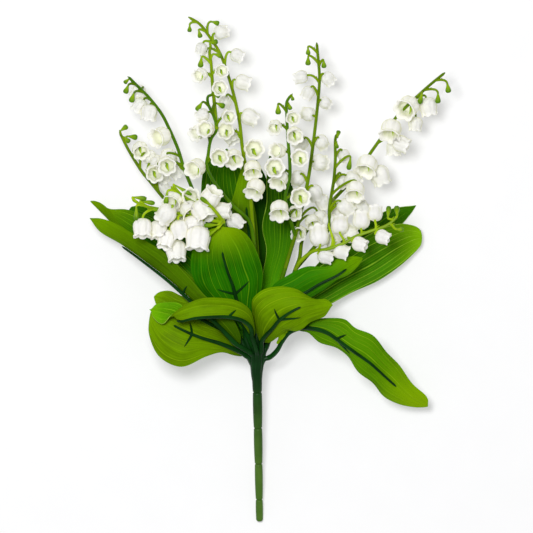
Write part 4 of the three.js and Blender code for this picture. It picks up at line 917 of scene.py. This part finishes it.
# A trunk runs from the crown's middle, and a spray's stem from its fork, in mm. A bud or a bell is
# the x and y of its middle, its height over the stem, the way it faces and its size.
TRUNKS = {
    "top_left": [(-10, -53, 35), (-10, -35, 38), (-10, -14, 39), (-11, 5, 39)],
    "centre": [(-7, -53, 34), (-2, -37, 36), (4, -18, 38), (10, 1, 40)],
    "right": [(-4, -54, 33), (4, -36, 33), (11, -18, 35), (17, 0, 38)],
    "left": [(-14, -54, 31), (-20, -37, 33), (-27, -21, 35), (-37, -4, 36), (-46, 14, 35)],
    "front": [(-12, -53, 34), (-15, -39, 36), (-20, -21, 39), (-25, -4, 46), (-29, 14, 51),
        (-32, 25, 54), (-33, 33, 60)],
}
SPRAYS = [
    {
        "branch": "top_left", "green": "yellow",
        "stem": [(-11, 5, 39), (-15, 56, 38), (-20, 85, 38), (-22, 103, 37), (-26, 122, 35.5),
            (-31, 139, 34), (-36, 152, 32.5), (-43, 163, 31), (-50, 172, 30), (-58, 177, 29)],
        "buds": [(-57, 169, 0, 0, -1, 0, 0.7), (-50, 165, 0, 0.25, -0.95, 0, 0.8),
            (-39, 173, 0, 0.95, -0.25, 0, 0.8)],
        "bells": [(-35, 166, -2, 0.8, 0.1, -0.45, 0.85), (-49, 155, 0, -0.35, -0.9, -0.2, 0.68),
            (-46, 149, -8, -0.1, -0.9, -0.2, 0.66), (-24, 150, 0, 0.85, -0.45, -0.2, 0.78),
            (-20, 131, 0, 0.9, -0.35, -0.2, 0.9), (-15, 107, 0, 0.85, -0.4, -0.25, 1),
            (-32, 117, -7, -0.15, -0.9, -0.2, 0.75), (-32, 97, 9, -0.1, -0.1, 0.95, 0.98),
            (-28, 93, -3, 0.35, -0.7, 0.3, 0.92), (-12, 84, 9, 0.2, -0.05, 0.95, 1.1),
            (-13, 70, 9, 0, -0.75, 0.65, 1), (-11, 57, 9, -0.35, -0.75, 0.6, 1.08)],
    },
    {
        "branch": "top_left", "green": "deep",
        "stem": [(-11, 5, 39), (-15, 33, 42), (-27, 45, 46), (-41, 63, 51), (-45, 73, 52),
            (-44, 80, 52), (-42, 91, 51.5), (-38, 98, 51), (-40, 107, 52), (-44, 116, 53),
            (-44, 121, 54), (-41, 122, 54)],
        "buds": [(-38, 122, 0, 0.9, -0.4, 0, 0.85), (-50, 114, 0, -0.5, -0.8, 0, 1),
            (-35, 115, 0, 0.85, -0.35, 0, 1)],
        "bells": [(-48, 108, 2, -0.75, -0.35, -0.2, 0.78), (-51, 96, -2, -0.55, -0.4, 0.7, 0.85),
            (-45, 98, 8, -0.25, 0.05, 0.95, 0.92), (-30, 107, 8, 0.15, -0.25, 0.95, 0.8),
            (-36, 79, 11, 0.1, -0.1, 0.97, 1), (-26, 78, 4, 0.2, -0.55, 0.8, 1),
            (-52, 71, 4, -0.45, -0.35, 0.8, 1.05)],
    },
    {
        "branch": "top_left", "green": "yellow",
        "stem": [(-38, 98, 51), (-39, 110, 50), (-41, 131, 48), (-42, 145, 47), (-43, 152, 46),
            (-42, 157, 46)],
        "buds": [(-40, 159, 0, 0.85, 0.25, 0, 0.8), (-37, 150, 0, 0.8, -0.2, 0, 0.85),
            (-49, 145, 0, -0.1, -0.95, 0, 1)],
        "bells": [(-49, 136, 5, -0.45, -0.35, 0.8, 0.78), (-35, 139, 8, 0.1, -0.15, 0.97, 0.76),
            (-36, 127, 7, 0.1, -0.15, 0.97, 0.86)],
    },
    {
        "branch": "centre", "green": "olive",
        "stem": [(10, 1, 40), (14, 14, 41), (17, 24, 42), (22, 45, 42), (26, 63, 41), (29, 84, 39.5),
            (31, 100, 38.5), (33, 119, 37), (34, 134, 36), (33, 148, 35), (32, 159, 34)],
        "buds": [(26, 153, 0, 0.05, -1, 0, 0.75), (26, 146, 0, 0, -1, 0, 0.9),
            (37, 144, 0, 0.1, -1, 0, 0.8)],
        "bells": [(21, 135, -2, -0.88, -0.2, -0.35, 0.8), (26, 124, -2, -0.45, -0.8, -0.3, 0.75),
            (40, 134, -2, 0.65, -0.6, -0.4, 0.78), (38, 117, -3, 0.7, -0.35, -0.55, 0.72),
            (26, 109, -4, -0.6, 0.2, -0.7, 0.85), (35, 89, -5, 0.3, -0.6, -0.65, 0.85),
            (21, 89, -7, -0.4, -0.5, -0.6, 0.85), (34, 75, -5, 0.7, -0.1, -0.6, 0.95),
            (19, 64, -7, -0.3, -0.5, -0.75, 0.9), (31, 54, -4, 0.3, -0.75, -0.45, 0.88),
            (36, 48, -10, 0.4, -0.7, -0.5, 0.85), (29, 33, -4, 0.2, -0.5, 0.5, 0.85),
            (20, 26, -3, -0.1, -0.3, 0.9, 0.85), (34, 37, -12, 0.3, -0.7, -0.3, 0.8)],
    },
    {
        "branch": "centre", "green": "deep",
        "stem": [(17, 24, 42), (11, 43, 53), (10, 51, 54), (13, 64, 54), (13, 77, 54), (12, 89, 53),
            (11, 108, 52), (11, 117, 51.5), (14, 122, 51)],
        "buds": [(15, 120, 0, 0.2, -1, 0, 0.6), (13, 114, 0, 0.3, -0.9, 0, 0.7),
            (5, 112, 0, 0.05, -1, 0, 1)],
        "bells": [(3, 100, 3, -0.1, -0.45, 0.85, 0.78), (15, 106, 9, 0.1, -0.2, 0.97, 0.78),
            (16, 94, 7, 0.05, -0.4, 0.9, 0.92), (5, 83, 4, -0.55, 0.05, 0.8, 0.86),
            (2, 71, 8, 0.12, -0.05, 0.98, 1.1), (6, 63, 0, -0.3, -0.7, 0.6, 1),
            (20, 78, 7, 0, -0.05, 1, 0.98), (20, 51, 8, 0.05, -0.12, 0.98, 1.1),
            (6, 42, 8, 0, -0.7, 0.7, 1.08), (17, 40, -2, -0.15, -0.4, 0.85, 0.8)],
    },
    {
        "branch": "right", "green": "olive",
        "stem": [(17, 0, 38), (29, 14, 43), (35, 21, 44), (40, 28, 45), (41, 44, 45), (44, 63, 45),
            (45, 77, 45), (45, 91, 45), (46, 95, 45)],
        "buds": [(47, 95, 1, 0.2, 0.95, 0.1, 0.8), (46, 87, 2, 0.1, -0.95, 0.2, 0.65),
            (55, 74, 2, -0.15, -0.95, 0.1, 1.3)],
        "bells": [(51, 80, -8, 0.3, -0.7, -0.5, 0.72), (50, 62, -9, 0.2, -0.9, -0.3, 0.8),
            (57, 63, -6, 0.75, -0.5, -0.35, 0.95), (59, 55, 7, -0.1, -0.75, 0.55, 1.08),
            (52, 44, 0, 0.55, -0.6, -0.5, 0.95), (63, 44, -11, 0.6, -0.5, -0.5, 0.9),
            (46, 42, -15, 0.2, -0.9, -0.2, 0.85)],
    },
    {
        "branch": "right", "green": "olive",
        "stem": [(17, 0, 38), (20, 8, 34), (22, 21, 27), (29, 33, 24), (40, 45, 24), (61, 68, 30),
            (70, 82, 30), (80, 96, 31), (88, 107, 32), (101, 120, 32), (111, 129, 33), (122, 138, 33)],
        "buds": [(124, 127, 0, 0.15, -1, 0, 1), (117, 120, 0, 0, -1, 0, 1.05),
            (105, 120, 5, -0.25, -0.95, 0.1, 1.15)],
        "bells": [(96, 114, 6, -0.45, -0.4, 0.75, 1.25), (110, 114, -3, 0.15, -0.75, 0, 1.1),
            (101, 102, -2, -0.1, -0.98, 0.05, 0.85), (84, 98, 8, -0.2, -0.75, 0.55, 1.2),
            (86, 85, -7, -0.1, -0.95, 0, 0.9), (91, 88, 4, 0.8, -0.35, 0.1, 0.98),
            (67, 73, 8, -0.25, -0.75, 0.55, 1.2), (76, 66, -2, 0.35, -0.85, -0.15, 1.2)],
    },
    {
        "branch": "right", "green": "lime",
        "stem": [(17, 0, 38), (20, 5, 44), (24, 9, 47), (30, 13, 50), (38, 14, 53), (50, 18, 55),
            (59, 23, 56), (70, 27, 57), (79, 30, 57), (84, 33, 57), (88, 37, 57)],
        "buds": [(82, 40, 1, 0.1, 0.98, 0, 1.2), (88, 41, 1, 0, 0.95, 0.1, 1.1),
            (90, 28, 0, 0.99, -0.05, 0, 0.7)],
        "bells": [(78, 23, 3, 0.92, -0.3, 0.15, 0.85), (62, 18, 4, 0.92, -0.25, 0.15, 0.88),
            (49, 13, -3, 0.9, -0.3, 0, 0.9), (38, 9, -3, 0.9, -0.35, -0.1, 0.9),
            (34, 23, 0, -0.05, 0.75, -0.6, 1.15), (48, 31, -2, 0, 0.75, -0.6, 1.02),
            (63, 34, -2, 0, 0.85, -0.45, 0.98), (73, 39, -3, 0.05, 0.85, -0.5, 0.85),
            (55, 25, -9, 0.2, 0.4, -0.8, 0.95), (43, 20, -13, 0.1, -0.5, -0.6, 0.85),
            (41, 34, -14, 0.1, 0.3, -0.8, 0.85)],
    },
    {
        "branch": "left", "green": "deep",
        "stem": [(-46, 14, 35), (-50, 40, 39), (-55, 56, 40), (-61, 71, 40), (-65, 84, 40),
            (-71, 98, 40), (-76, 108, 40), (-81, 115, 40), (-86, 121, 40), (-93, 128, 40),
            (-100, 135, 40)],
        "buds": [(-101, 132, -1, -0.7, -0.6, 0, 0.7), (-101, 126, 1, -0.35, -0.95, 0, 0.95),
            (-97, 120, 2, -0.3, -0.95, 0, 1.1)],
        "bells": [(-93, 124, -9, -0.5, -0.5, -0.5, 0.9), (-92, 115, -5, -0.5, -0.7, -0.2, 0.85),
            (-85, 110, -1, -0.1, -0.9, -0.1, 0.95), (-77, 93, 4, -0.65, -0.25, 0.65, 1.1),
            (-72, 79, -7, 0.1, -0.3, -0.8, 1), (-73, 73, 8, 0.1, -0.3, 0.9, 1),
            (-67, 69, -4, 0.5, -0.7, -0.2, 0.9)],
    },
    {
        "branch": "left", "green": "olive",
        "stem": [(-46, 14, 35), (-53, 24, 33), (-64, 38, 30), (-76, 51, 27), (-85, 62, 25),
            (-90, 68, 25), (-94, 74, 25), (-100, 84, 25), (-106, 96, 25)],
        "buds": [(-103, 99, 1, 0.7, 0.5, 0, 0.9), (-97, 93, 1, 0.9, -0.1, 0, 1),
            (-101, 91, 2, 0.6, -0.5, 0, 0.8)],
        "bells": [(-92, 84, 3, 0.1, -0.5, 0.8, 0.92), (-85, 79, -3, 0.5, -0.4, -0.6, 0.85),
            (-82, 68, 7, 0.1, -0.15, 0.95, 0.98), (-76, 65, -3, 0.4, -0.8, -0.2, 0.85),
            (-79, 75, 5, 0.5, -0.2, 0.5, 0.85), (-76, 58, -6, 0.5, -0.7, 0, 0.75)],
    },
    {
        "branch": "front", "green": "bright",
        "stem": [(-33, 33, 60), (-36, 37, 66), (-40, 42, 70), (-43, 45, 72)],
        "buds": [(-45, 47, 1, -0.75, 0.6, 0.1, 1.7), (-47, 24, 5, -0.95, -0.3, 0.1, 1.8),
            (-42, 25, 7, -0.8, -0.6, 0.1, 1.9), (-42, 31, 2, -1, -0.05, 0.1, 1.5)],
        "bells": [(-42, 50, -6, 0.5, 0.7, 0.35, 1.15), (-34, 41, -11, 0.8, 0, 0.1, 1),
            (-25, 33, -12, 0.7, -0.6, 0, 1)],
    },
    {
        "branch": "front", "green": "lime",
        "stem": [(-33, 33, 60), (-41, 39, 57), (-51, 45, 54), (-61, 51, 56), (-70, 58, 60)],
        "buds": [(-73, 50, 1, -0.1, -1, 0, 1.25), (-62, 56, 1, 0.85, -0.5, 0, 2.1)],
        "bells": [(-68, 49, -3, -0.3, -0.5, 0.6, 1.05), (-57, 50, 1, 0.1, 0.2, 0.85, 1),
            (-57, 41, 4, 0.3, -0.6, 0.6, 1.1), (-48, 41, 8, 0.35, -0.8, 0.2, 1.3),
            (-64, 40, -7, -0.1, -0.6, 0.7, 1.05)],
    },
    {
        "branch": "front", "green": "lime",
        "stem": [(-33, 33, 60), (-46, 35, 56), (-60, 38, 56), (-73, 41, 60), (-83, 43, 68),
            (-92, 46, 72), (-97, 49, 72)],
        "buds": [(-92, 50, 0, 0.95, -0.1, 0, 1.4), (-86, 47, 0, 0.95, -0.15, 0, 1.6),
            (-94, 39, 0, 0, -1, 0, 1.6), (-81, 42, 1, 0.98, -0.15, 0, 1.5)],
        "bells": [(-90, 29, -3, -0.05, -0.97, 0.15, 1.12), (-79, 28, -1, 0.1, -0.95, 0.15, 1.05),
            (-73, 39, 12, -0.5, -0.55, -0.45, 1.1), (-64, 28, 8, 0.1, -0.8, -0.1, 1.1),
            (-73, 21, 3, -0.25, -0.85, 0.3, 1.1), (-66, 13, -3, 0.12, -0.95, 0.2, 1.25),
            (-54, 30, 6, -0.15, -0.9, 0.1, 1.25), (-51, 22, 10, -0.1, -0.98, 0.1, 1.42)],
    },
]
# The two tones of each green, from the darkest up. A pedicel is one green brighter than its stem.
STEM_GREENS = {
    "deep": ("3a6400", "4e7804"),
    "olive": ("4e6c00", "648404"),
    "yellow": ("688600", "7c9804"),
    "lime": ("769608", "8cac10"),
    "bright": ("8cac08", "a4c018"),
}
BRANCH_SOCKET = 20
TRUNK_STEPS = 40
TRUNK_ROOT_RADIUS = 1.75
FORK_RADIUS = 1.4
SPRAY_TIP_RADIUS = 1.0
PEDICEL_POINTS = 9
PEDICEL_ROOT_RADIUS = 0.98
PEDICEL_END_RADIUS = 0.75
PEDICEL_SETBACK = 0.35
PEDICEL_ARCH = 0.4
BRACT_LENGTH = 2.8
BRACT_RADII = [0.45, 0.3375, 0.1]
BRACT_AWAY = 0.4
BRACT_ALONG = 0.9
BRACT_UP = Vector((0, 0, 0.3))
BELL_LENGTH = 12
BUD_LENGTH = 6


class Stem:
    """A spray's stem: its smooth run of points, and what lies along it."""

    def __init__(self, points):
        self.run = smooth_run([Vector(p) for p in points], 8 * len(points))
        self.spans = [(b - a).length for a, b in zip(self.run, self.run[1:])]

    def nearest(self, x, y):
        """The height, distance and length from the root of the place nearest to a spot from above."""
        best, passed = None, 0
        for a, b, span in zip(self.run, self.run[1:], self.spans):
            way = b - a
            flat = way.x**2 + way.y**2
            share = min(max(((x - a.x) * way.x + (y - a.y) * way.y) / flat, 0), 1) if flat else 0
            spot = a + way * share
            distance = math.hypot(spot.x - x, spot.y - y)
            if best is None or distance < best[1]:
                best = (spot.z, distance, passed + share * span)
            passed += span
        return best

    def at(self, length):
        """The point and the way of the stem at a length from its root."""
        left = max(0, length)
        for a, b, span in zip(self.run, self.run[1:], self.spans):
            if left <= span:
                break
            left -= span
        return a + (b - a).normalized() * min(left, span), (b - a).normalized()


class Flower:
    """Where a bell or a bud hangs on its stem: its top, its way, its size and its pedicel's points."""

    def __init__(self, stem, place, length):
        x, y, lift, *facing, self.size = place
        height, distance, from_root = stem.nearest(x, y)
        self.way = Vector(facing).normalized()
        self.top = Vector((x, y, height + lift)) - self.way * (length * self.size / 2)
        root, self.stem_way = stem.at(from_root - PEDICEL_SETBACK * distance)
        reach = (root - self.top).length * PEDICEL_ARCH
        self.away = ((self.top - root).normalized() + self.stem_way).normalized()
        leaving, arriving = root + self.away * reach, self.top - self.way * reach
        self.pedicel = interpolate_bezier(root, leaving, arriving, self.top, PEDICEL_POINTS)


def bract_points(flower):
    """The small thin spike that stands off a pedicel near its root."""
    root = flower.pedicel[2]
    outwards = (flower.away * BRACT_AWAY + flower.stem_way * BRACT_ALONG + BRACT_UP).normalized()
    return [root + outwards * BRACT_LENGTH * share for share in (0, 0.5, 1)]


greens = [moulded(f"stem_{green}", tones, 50.0, (0.3, 0.45), 0.1) for green, tones in STEM_GREENS.items()]
trunk_runs, bell_flowers, bud_flowers = {}, {}, {}
for name, points in TRUNKS.items():
    trunk_runs[name] = smooth_run([CROWN_MIDDLE, *(Vector(p) for p in points)], TRUNK_STEPS)
    shown = past(trunk_runs[name], BRANCH_SOCKET - 1)
    runs = [(shown, tapered(shown, TRUNK_ROOT_RADIUS, FORK_RADIUS, 1), 0)]
    bell_flowers[name], bud_flowers[name] = [], []
    for spray in (spray for spray in SPRAYS if spray["branch"] == name):
        stem = Stem(spray["stem"])
        green = list(STEM_GREENS).index(spray["green"])
        brighter = min(green + 1, len(greens) - 1)
        runs.append((stem.run, tapered(stem.run, FORK_RADIUS, SPRAY_TIP_RADIUS), green))
        bells = [Flower(stem, place, BELL_LENGTH) for place in spray["bells"]]
        buds = [Flower(stem, place, BUD_LENGTH) for place in spray["buds"]]
        for flower in bells + buds:
            radii = tapered(flower.pedicel, PEDICEL_ROOT_RADIUS, PEDICEL_END_RADIUS, 1)
            runs.append((flower.pedicel, radii, brighter))
            runs.append((bract_points(flower), BRACT_RADII, brighter))
        bell_flowers[name] += bells
        bud_flowers[name] += buds
    stems = rods(f"stems_{name}", runs)
    finished(stems, greens)
    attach(stems, "root")
    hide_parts(f"flowers_{name}")

# Tongues
# Every pedicel ends in an arrow inside its bell: a thin pin with a flat head, which was pushed
# through the bell's top and holds the bell with its two swept barbs. They droop towards the crown.

TONGUE_PIN = [(0, 0.55), (1.2, 0.6), (3.0, 0.65)]
TONGUE_HEAD = [(2.1, 1.8), (2.9, 2.0), (4.6, 1.4), (6.6, 0.85), (8.6, 0.25)]
TONGUE_LENGTH = 8.6
TONGUE_FLATNESS = 0.45
TONGUE_START = 0.6
TONGUE_DROOP = Vector((0.2, -0.55, 0))
TONGUE_SIDES = 10
TONGUE_SHARP_ANGLE = 60


def lengthened(piece, length):
    """Gives every point of a piece its share of the piece's length, for its material to read."""
    along = piece.data.attributes.new("along", "FLOAT", "POINT")
    for place, corner in zip(along.data, piece.data.vertices):
        place.value = corner.co.z / (length * MM)


def copy_of(pattern, matrix):
    """A copy of a piece with its own mesh, set down in its place."""
    piece = pattern.copy()
    piece.data = pattern.data.copy()
    bpy.context.collection.objects.link(piece)
    set_down(piece, matrix)
    return piece


tongue_lime = moulded("tongue_lime", ("688c0c", "749814"), 60.0, (0.3, 0.42), 0.15)
shaded(tongue_lime, read_attribute(tongue_lime.node_tree, "along"), 0.25, 0.7, ("9cc018", "accc28"))

tongue_pattern = turned("tongue_pattern", TONGUE_PIN + TONGUE_HEAD, TONGUE_SIDES)
for corner in tongue_pattern.data.vertices:
    corner.co.y *= TONGUE_FLATNESS if corner.co.z > 2 * MM else 1
lengthened(tongue_pattern, TONGUE_LENGTH)
for name, flowers in bell_flowers.items():
    pushed = []
    for flower in flowers:
        start = flower.top + flower.way * TONGUE_START
        matrix = standing_at(start, flower.way + TONGUE_DROOP, size=flower.size)
        pushed.append(copy_of(tongue_pattern, matrix))
    tongues = joined(f"tongues_{name}", pushed)
    finished(tongues, [tongue_lime], TONGUE_SHARP_ANGLE)
    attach(tongues, "root")
    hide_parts(f"flowers_{name}")

bpy.data.objects.remove(tongue_pattern)

# Bells
# Each bell is a separate soft translucent white cup, moulded with six shallow creases and six
# rounded lobes that curl outwards, and pushed over the tongue of its pedicel.

# The depth and radius of each ring in mm. A bell that faces up has the first shape, which is the
# most open, and the others have one of the other two.
BELL_SHAPES = [
    [(0, 1.3), (0.3, 2.9), (1.4, 4.9), (3.4, 6.1), (5.8, 6.2), (7.8, 5.75), (9.2, 5.5), (10.2, 6.05),
        (10.9, 6.85)],
    [(0, 1.3), (0.3, 2.9), (1.4, 4.9), (3.6, 6.25), (6.2, 6.35), (8.4, 5.75), (9.8, 5.4), (10.7, 5.7),
        (11.3, 6.2)],
    [(0, 1.3), (0.3, 2.9), (1.4, 4.8), (3.6, 6.15), (6.2, 6.15), (8.4, 5.4), (9.8, 5.0), (10.7, 5.1),
        (11.4, 5.4)],
]
BELL_LOBES = 6
BELL_SIDES = 36
BELL_RADIUS = 6
BELL_WALL = 0.8
BELL_CREASE = 0.13
LOBE_REACH = 1.3
LOBE_FLARE = 0.7
LOBE_MIDDLE = 0.55
FACING_UP = 0.4
BELL_LEAN = 0.06
LIGHT_REACH = 3.0 * MM
LIGHT_SPREAD = (1.0, 1.0, 0.92)
BELL_PAINTED_GLOW = 0.045


def moulded_bell(name, profile):
    """A bell with its top at the origin and its mouth towards +Z."""
    bell = turned(name, profile, BELL_SIDES, open_end=True)
    lengthened(bell, BELL_LENGTH)
    rim, neck = profile[-1][0], profile[-4][0]
    for corner in bell.data.vertices:
        height, angle = corner.co.z / MM, math.atan2(corner.co.y, corner.co.x)
        lobe = abs(math.cos(BELL_LOBES * angle / 2)) ** 0.8
        crease = (1 - lobe) ** 3 * BELL_CREASE * math.sin(math.pi * min(0.85, height / neck)) ** 0.5
        low = max(0, (height - neck) / (rim - neck))
        spread = 1 - crease + LOBE_FLARE * (lobe - LOBE_MIDDLE) * low**1.5 / BELL_RADIUS
        corner.co.x *= spread
        corner.co.y *= spread
        corner.co.z += LOBE_REACH * (lobe - LOBE_MIDDLE) * low * MM
    return bell


def rounded(piece):
    """Rounds a piece with one level of subdivision."""
    select_only(piece)
    rounding = piece.modifiers.new("rounding", "SUBSURF")
    rounding.levels = rounding.render_levels = 1
    bpy.ops.object.modifier_apply(modifier=rounding.name)


def bell_plastic(name, tones, attribute, low, high, end_tones):
    """The bell's soft plastic, which lets some light through, with a faint painted glow and painted shade
    that changes with an attribute.
    """
    material = moulded(name, tones, 38.0, (0.5, 0.65), 0.2, 0.02 * MM)
    shaded(material, read_attribute(material.node_tree, attribute), low, high, end_tones)
    shader = material.node_tree.nodes["Principled BSDF"]
    shader.inputs["Subsurface Weight"].default_value = 1.0
    shader.inputs["Subsurface Scale"].default_value = LIGHT_REACH
    shader.inputs["Subsurface Radius"].default_value = LIGHT_SPREAD
    # The faint emission is painted light, not a lamp: a glow that lifts the shade on and between the bells.
    shader.inputs["Emission Color"].default_value = tint("fcfaee")
    shader.inputs["Emission Strength"].default_value = BELL_PAINTED_GLOW
    return material


# The white outside is painted with shade: yellower and darker where its "facing" turns away from up, plain
# white where it faces up.
bell_white = bell_plastic("bell_white", ("ededcc", "e8e8c0"), "facing", 0.1, 0.8, ("f5f2eb", "f0ede4"))
# The lining is painted with shade: greener and darker deep in the bell, whitening towards the mouth.
bell_lining = bell_plastic("bell_lining", ("eaebd4", "e4e5ca"), "along", 0.55, 0.82, ("f5f2e8", "f0ede0"))

patterns = []
for k, profile in enumerate(BELL_SHAPES):
    pattern = moulded_bell(f"bell_pattern_{k}", profile)
    thickened(pattern, BELL_WALL, (bell_white, bell_lining, bell_white), -1)
    rounded(pattern)
    bpy.ops.object.shade_smooth()
    patterns.append(pattern)

chance = random.Random(96)
for name, flowers in bell_flowers.items():
    hung = []
    for flower in flowers:
        pattern = patterns[0] if flower.way.z > FACING_UP else chance.choice(patterns[1:])
        side = Matrix.Rotation(chance.uniform(0, math.pi / 3), 3, flower.way) @ ANY_SIDE
        if abs(side.normalized().dot(flower.way)) > 0.95:
            side = Vector((1, 0, 0))
        lean = Vector([chance.uniform(-BELL_LEAN, BELL_LEAN) for _ in range(3)])
        hung.append(copy_of(pattern, standing_at(flower.top, flower.way + lean, side, flower.size)))
    bells = joined(f"bells_{name}", hung)
    # A corner's "facing" is how far up its normal points, which sets the painted shade of the white
    # outside.
    facing = bells.data.attributes.new("facing", "FLOAT", "POINT")
    for place, corner in zip(facing.data, bells.data.vertices):
        place.value = corner.normal.z
    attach(bells, "root")
    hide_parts(f"flowers_{name}")

for pattern in patterns:
    bpy.data.objects.remove(pattern)

# Buds
# The buds at the tips of the sprays are solid, bright green drops, broad and blunt at their ends,
# with a dent where their lobes meet. They are moulded in one with their pedicels.

BUD_ROOT = [(-0.3, 0.75), (0.9, 0.95), (2.1, 1.4), (3.5, 2.05)]
BUD_END = [(4.7, 2.3), (5.6, 1.95), (6.2, 1.1), (6.2, 0.3)]
BUD_SIDES = 12
BUD_LOBES = 3
BUD_LOBE_DEPTH = 0.08
BUD_SHARP_ANGLE = 80

bud_green = moulded("bud_green", ("789c08", "88a810"), 120.0, (0.3, 0.42), 0.12)
shaded(bud_green, read_attribute(bud_green.node_tree, "along"), 0.3, 0.95, ("4e7806", "5e880a"))

bud_pattern = turned("bud_pattern", BUD_ROOT + BUD_END, BUD_SIDES)
lengthened(bud_pattern, BUD_LENGTH)
for corner in bud_pattern.data.vertices:
    angle = math.atan2(corner.co.y, corner.co.x)
    fold = BUD_LOBE_DEPTH * math.cos(BUD_LOBES * angle) * max(0, corner.co.z / MM - 2) / 4
    corner.co.x *= 1 + fold
    corner.co.y *= 1 + fold
rounded(bud_pattern)

for name, flowers in bud_flowers.items():
    hung = []
    for flower in flowers:
        size = flower.size * chance.uniform(0.95, 1.1)
        matrix = standing_at(flower.top, flower.way, size=size, girth=min(size, size**-0.5))
        hung.append(copy_of(bud_pattern, matrix))
    buds = joined(f"buds_{name}", hung)
    finished(buds, [bud_green], BUD_SHARP_ANGLE)
    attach(buds, "root")
    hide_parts(f"flowers_{name}")

bpy.data.objects.remove(bud_pattern)

# Crown
# The pick swells into a crown where all the stalks and branches come together. Each has its own
# fluted socket, moulded in one with the pick, and two more prongs stand bare between the left ones.

CROWN_BASE = Vector((-10, -77, 27.5))
CROWN_CORE = [(98, 3.0), (102, 3.4), (107, 3.9), (112, 4.2), (116, 3.6), (118.5, 2.0), (119.5, 0.6)]
FLUTE_STEPS = 16
FLUTE_RADIUS = 1.75
SOCKET_RADIUS = 1.95
PRONGS = [
    [(-13, -66, 31), (-16.5, -58, 34), (-20.3, -51, 37), (-23.5, -43.5, 39)],
    [(-12, -66, 31), (-14.5, -57, 34), (-17.4, -48.5, 37), (-20, -38.5, 40)],
]
PRONG_RADII = [2.2, 2.6, 2.0, 0.3]
# Where a flute passes: a spot, how far out from it and how far on from it along the rod.
FLUTE_WAY = [(CROWN_BASE, 1.2, -3), (CROWN_BASE, 2.1, 3), (CROWN_MIDDLE, 3.0, -4)]


def socket_points(run, length):
    """A flute's way: out of the pick's side at the crown's base and along its own stalk."""
    axis = (PICK_CROWN - PICK_FOOT).normalized()
    outwards = past(run, length)[0] - CROWN_MIDDLE
    outwards = (outwards - axis * outwards.dot(axis)).normalized()
    points = [spot + outwards * out + axis * on for spot, out, on in FLUTE_WAY]
    return smooth_run(points + [past(run, length * share)[0] for share in (0.6, 0.8, 1)], FLUTE_STEPS)


sockets = [(stalk_runs[name], leaf["socket"]) for name, leaf in LEAVES.items()]
sockets += [(run, BRANCH_SOCKET) for run in trunk_runs.values()]
runs = []
for run, length in sockets:
    swells = [math.sin(math.pi * k / FLUTE_STEPS) for k in range(1, FLUTE_STEPS)]
    radii = [FLUTE_RADIUS + (SOCKET_RADIUS - FLUTE_RADIUS) * swell for swell in swells]
    runs.append((socket_points(run, length), [FLUTE_RADIUS * 0.5, *radii, FLUTE_RADIUS * 0.8], 0))
runs += [([Vector(p) for p in prong], PRONG_RADII, 0) for prong in PRONGS]
flutes = rods("flutes", runs, 3)
core = turned("core", CROWN_CORE, PICK_SIDES)
set_down(core, standing_at(PICK_FOOT, PICK_CROWN - PICK_FOOT))
crown = joined("crown", [flutes, core])
finished(crown, [pick_plastic])
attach(crown, "root")
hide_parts("pick")
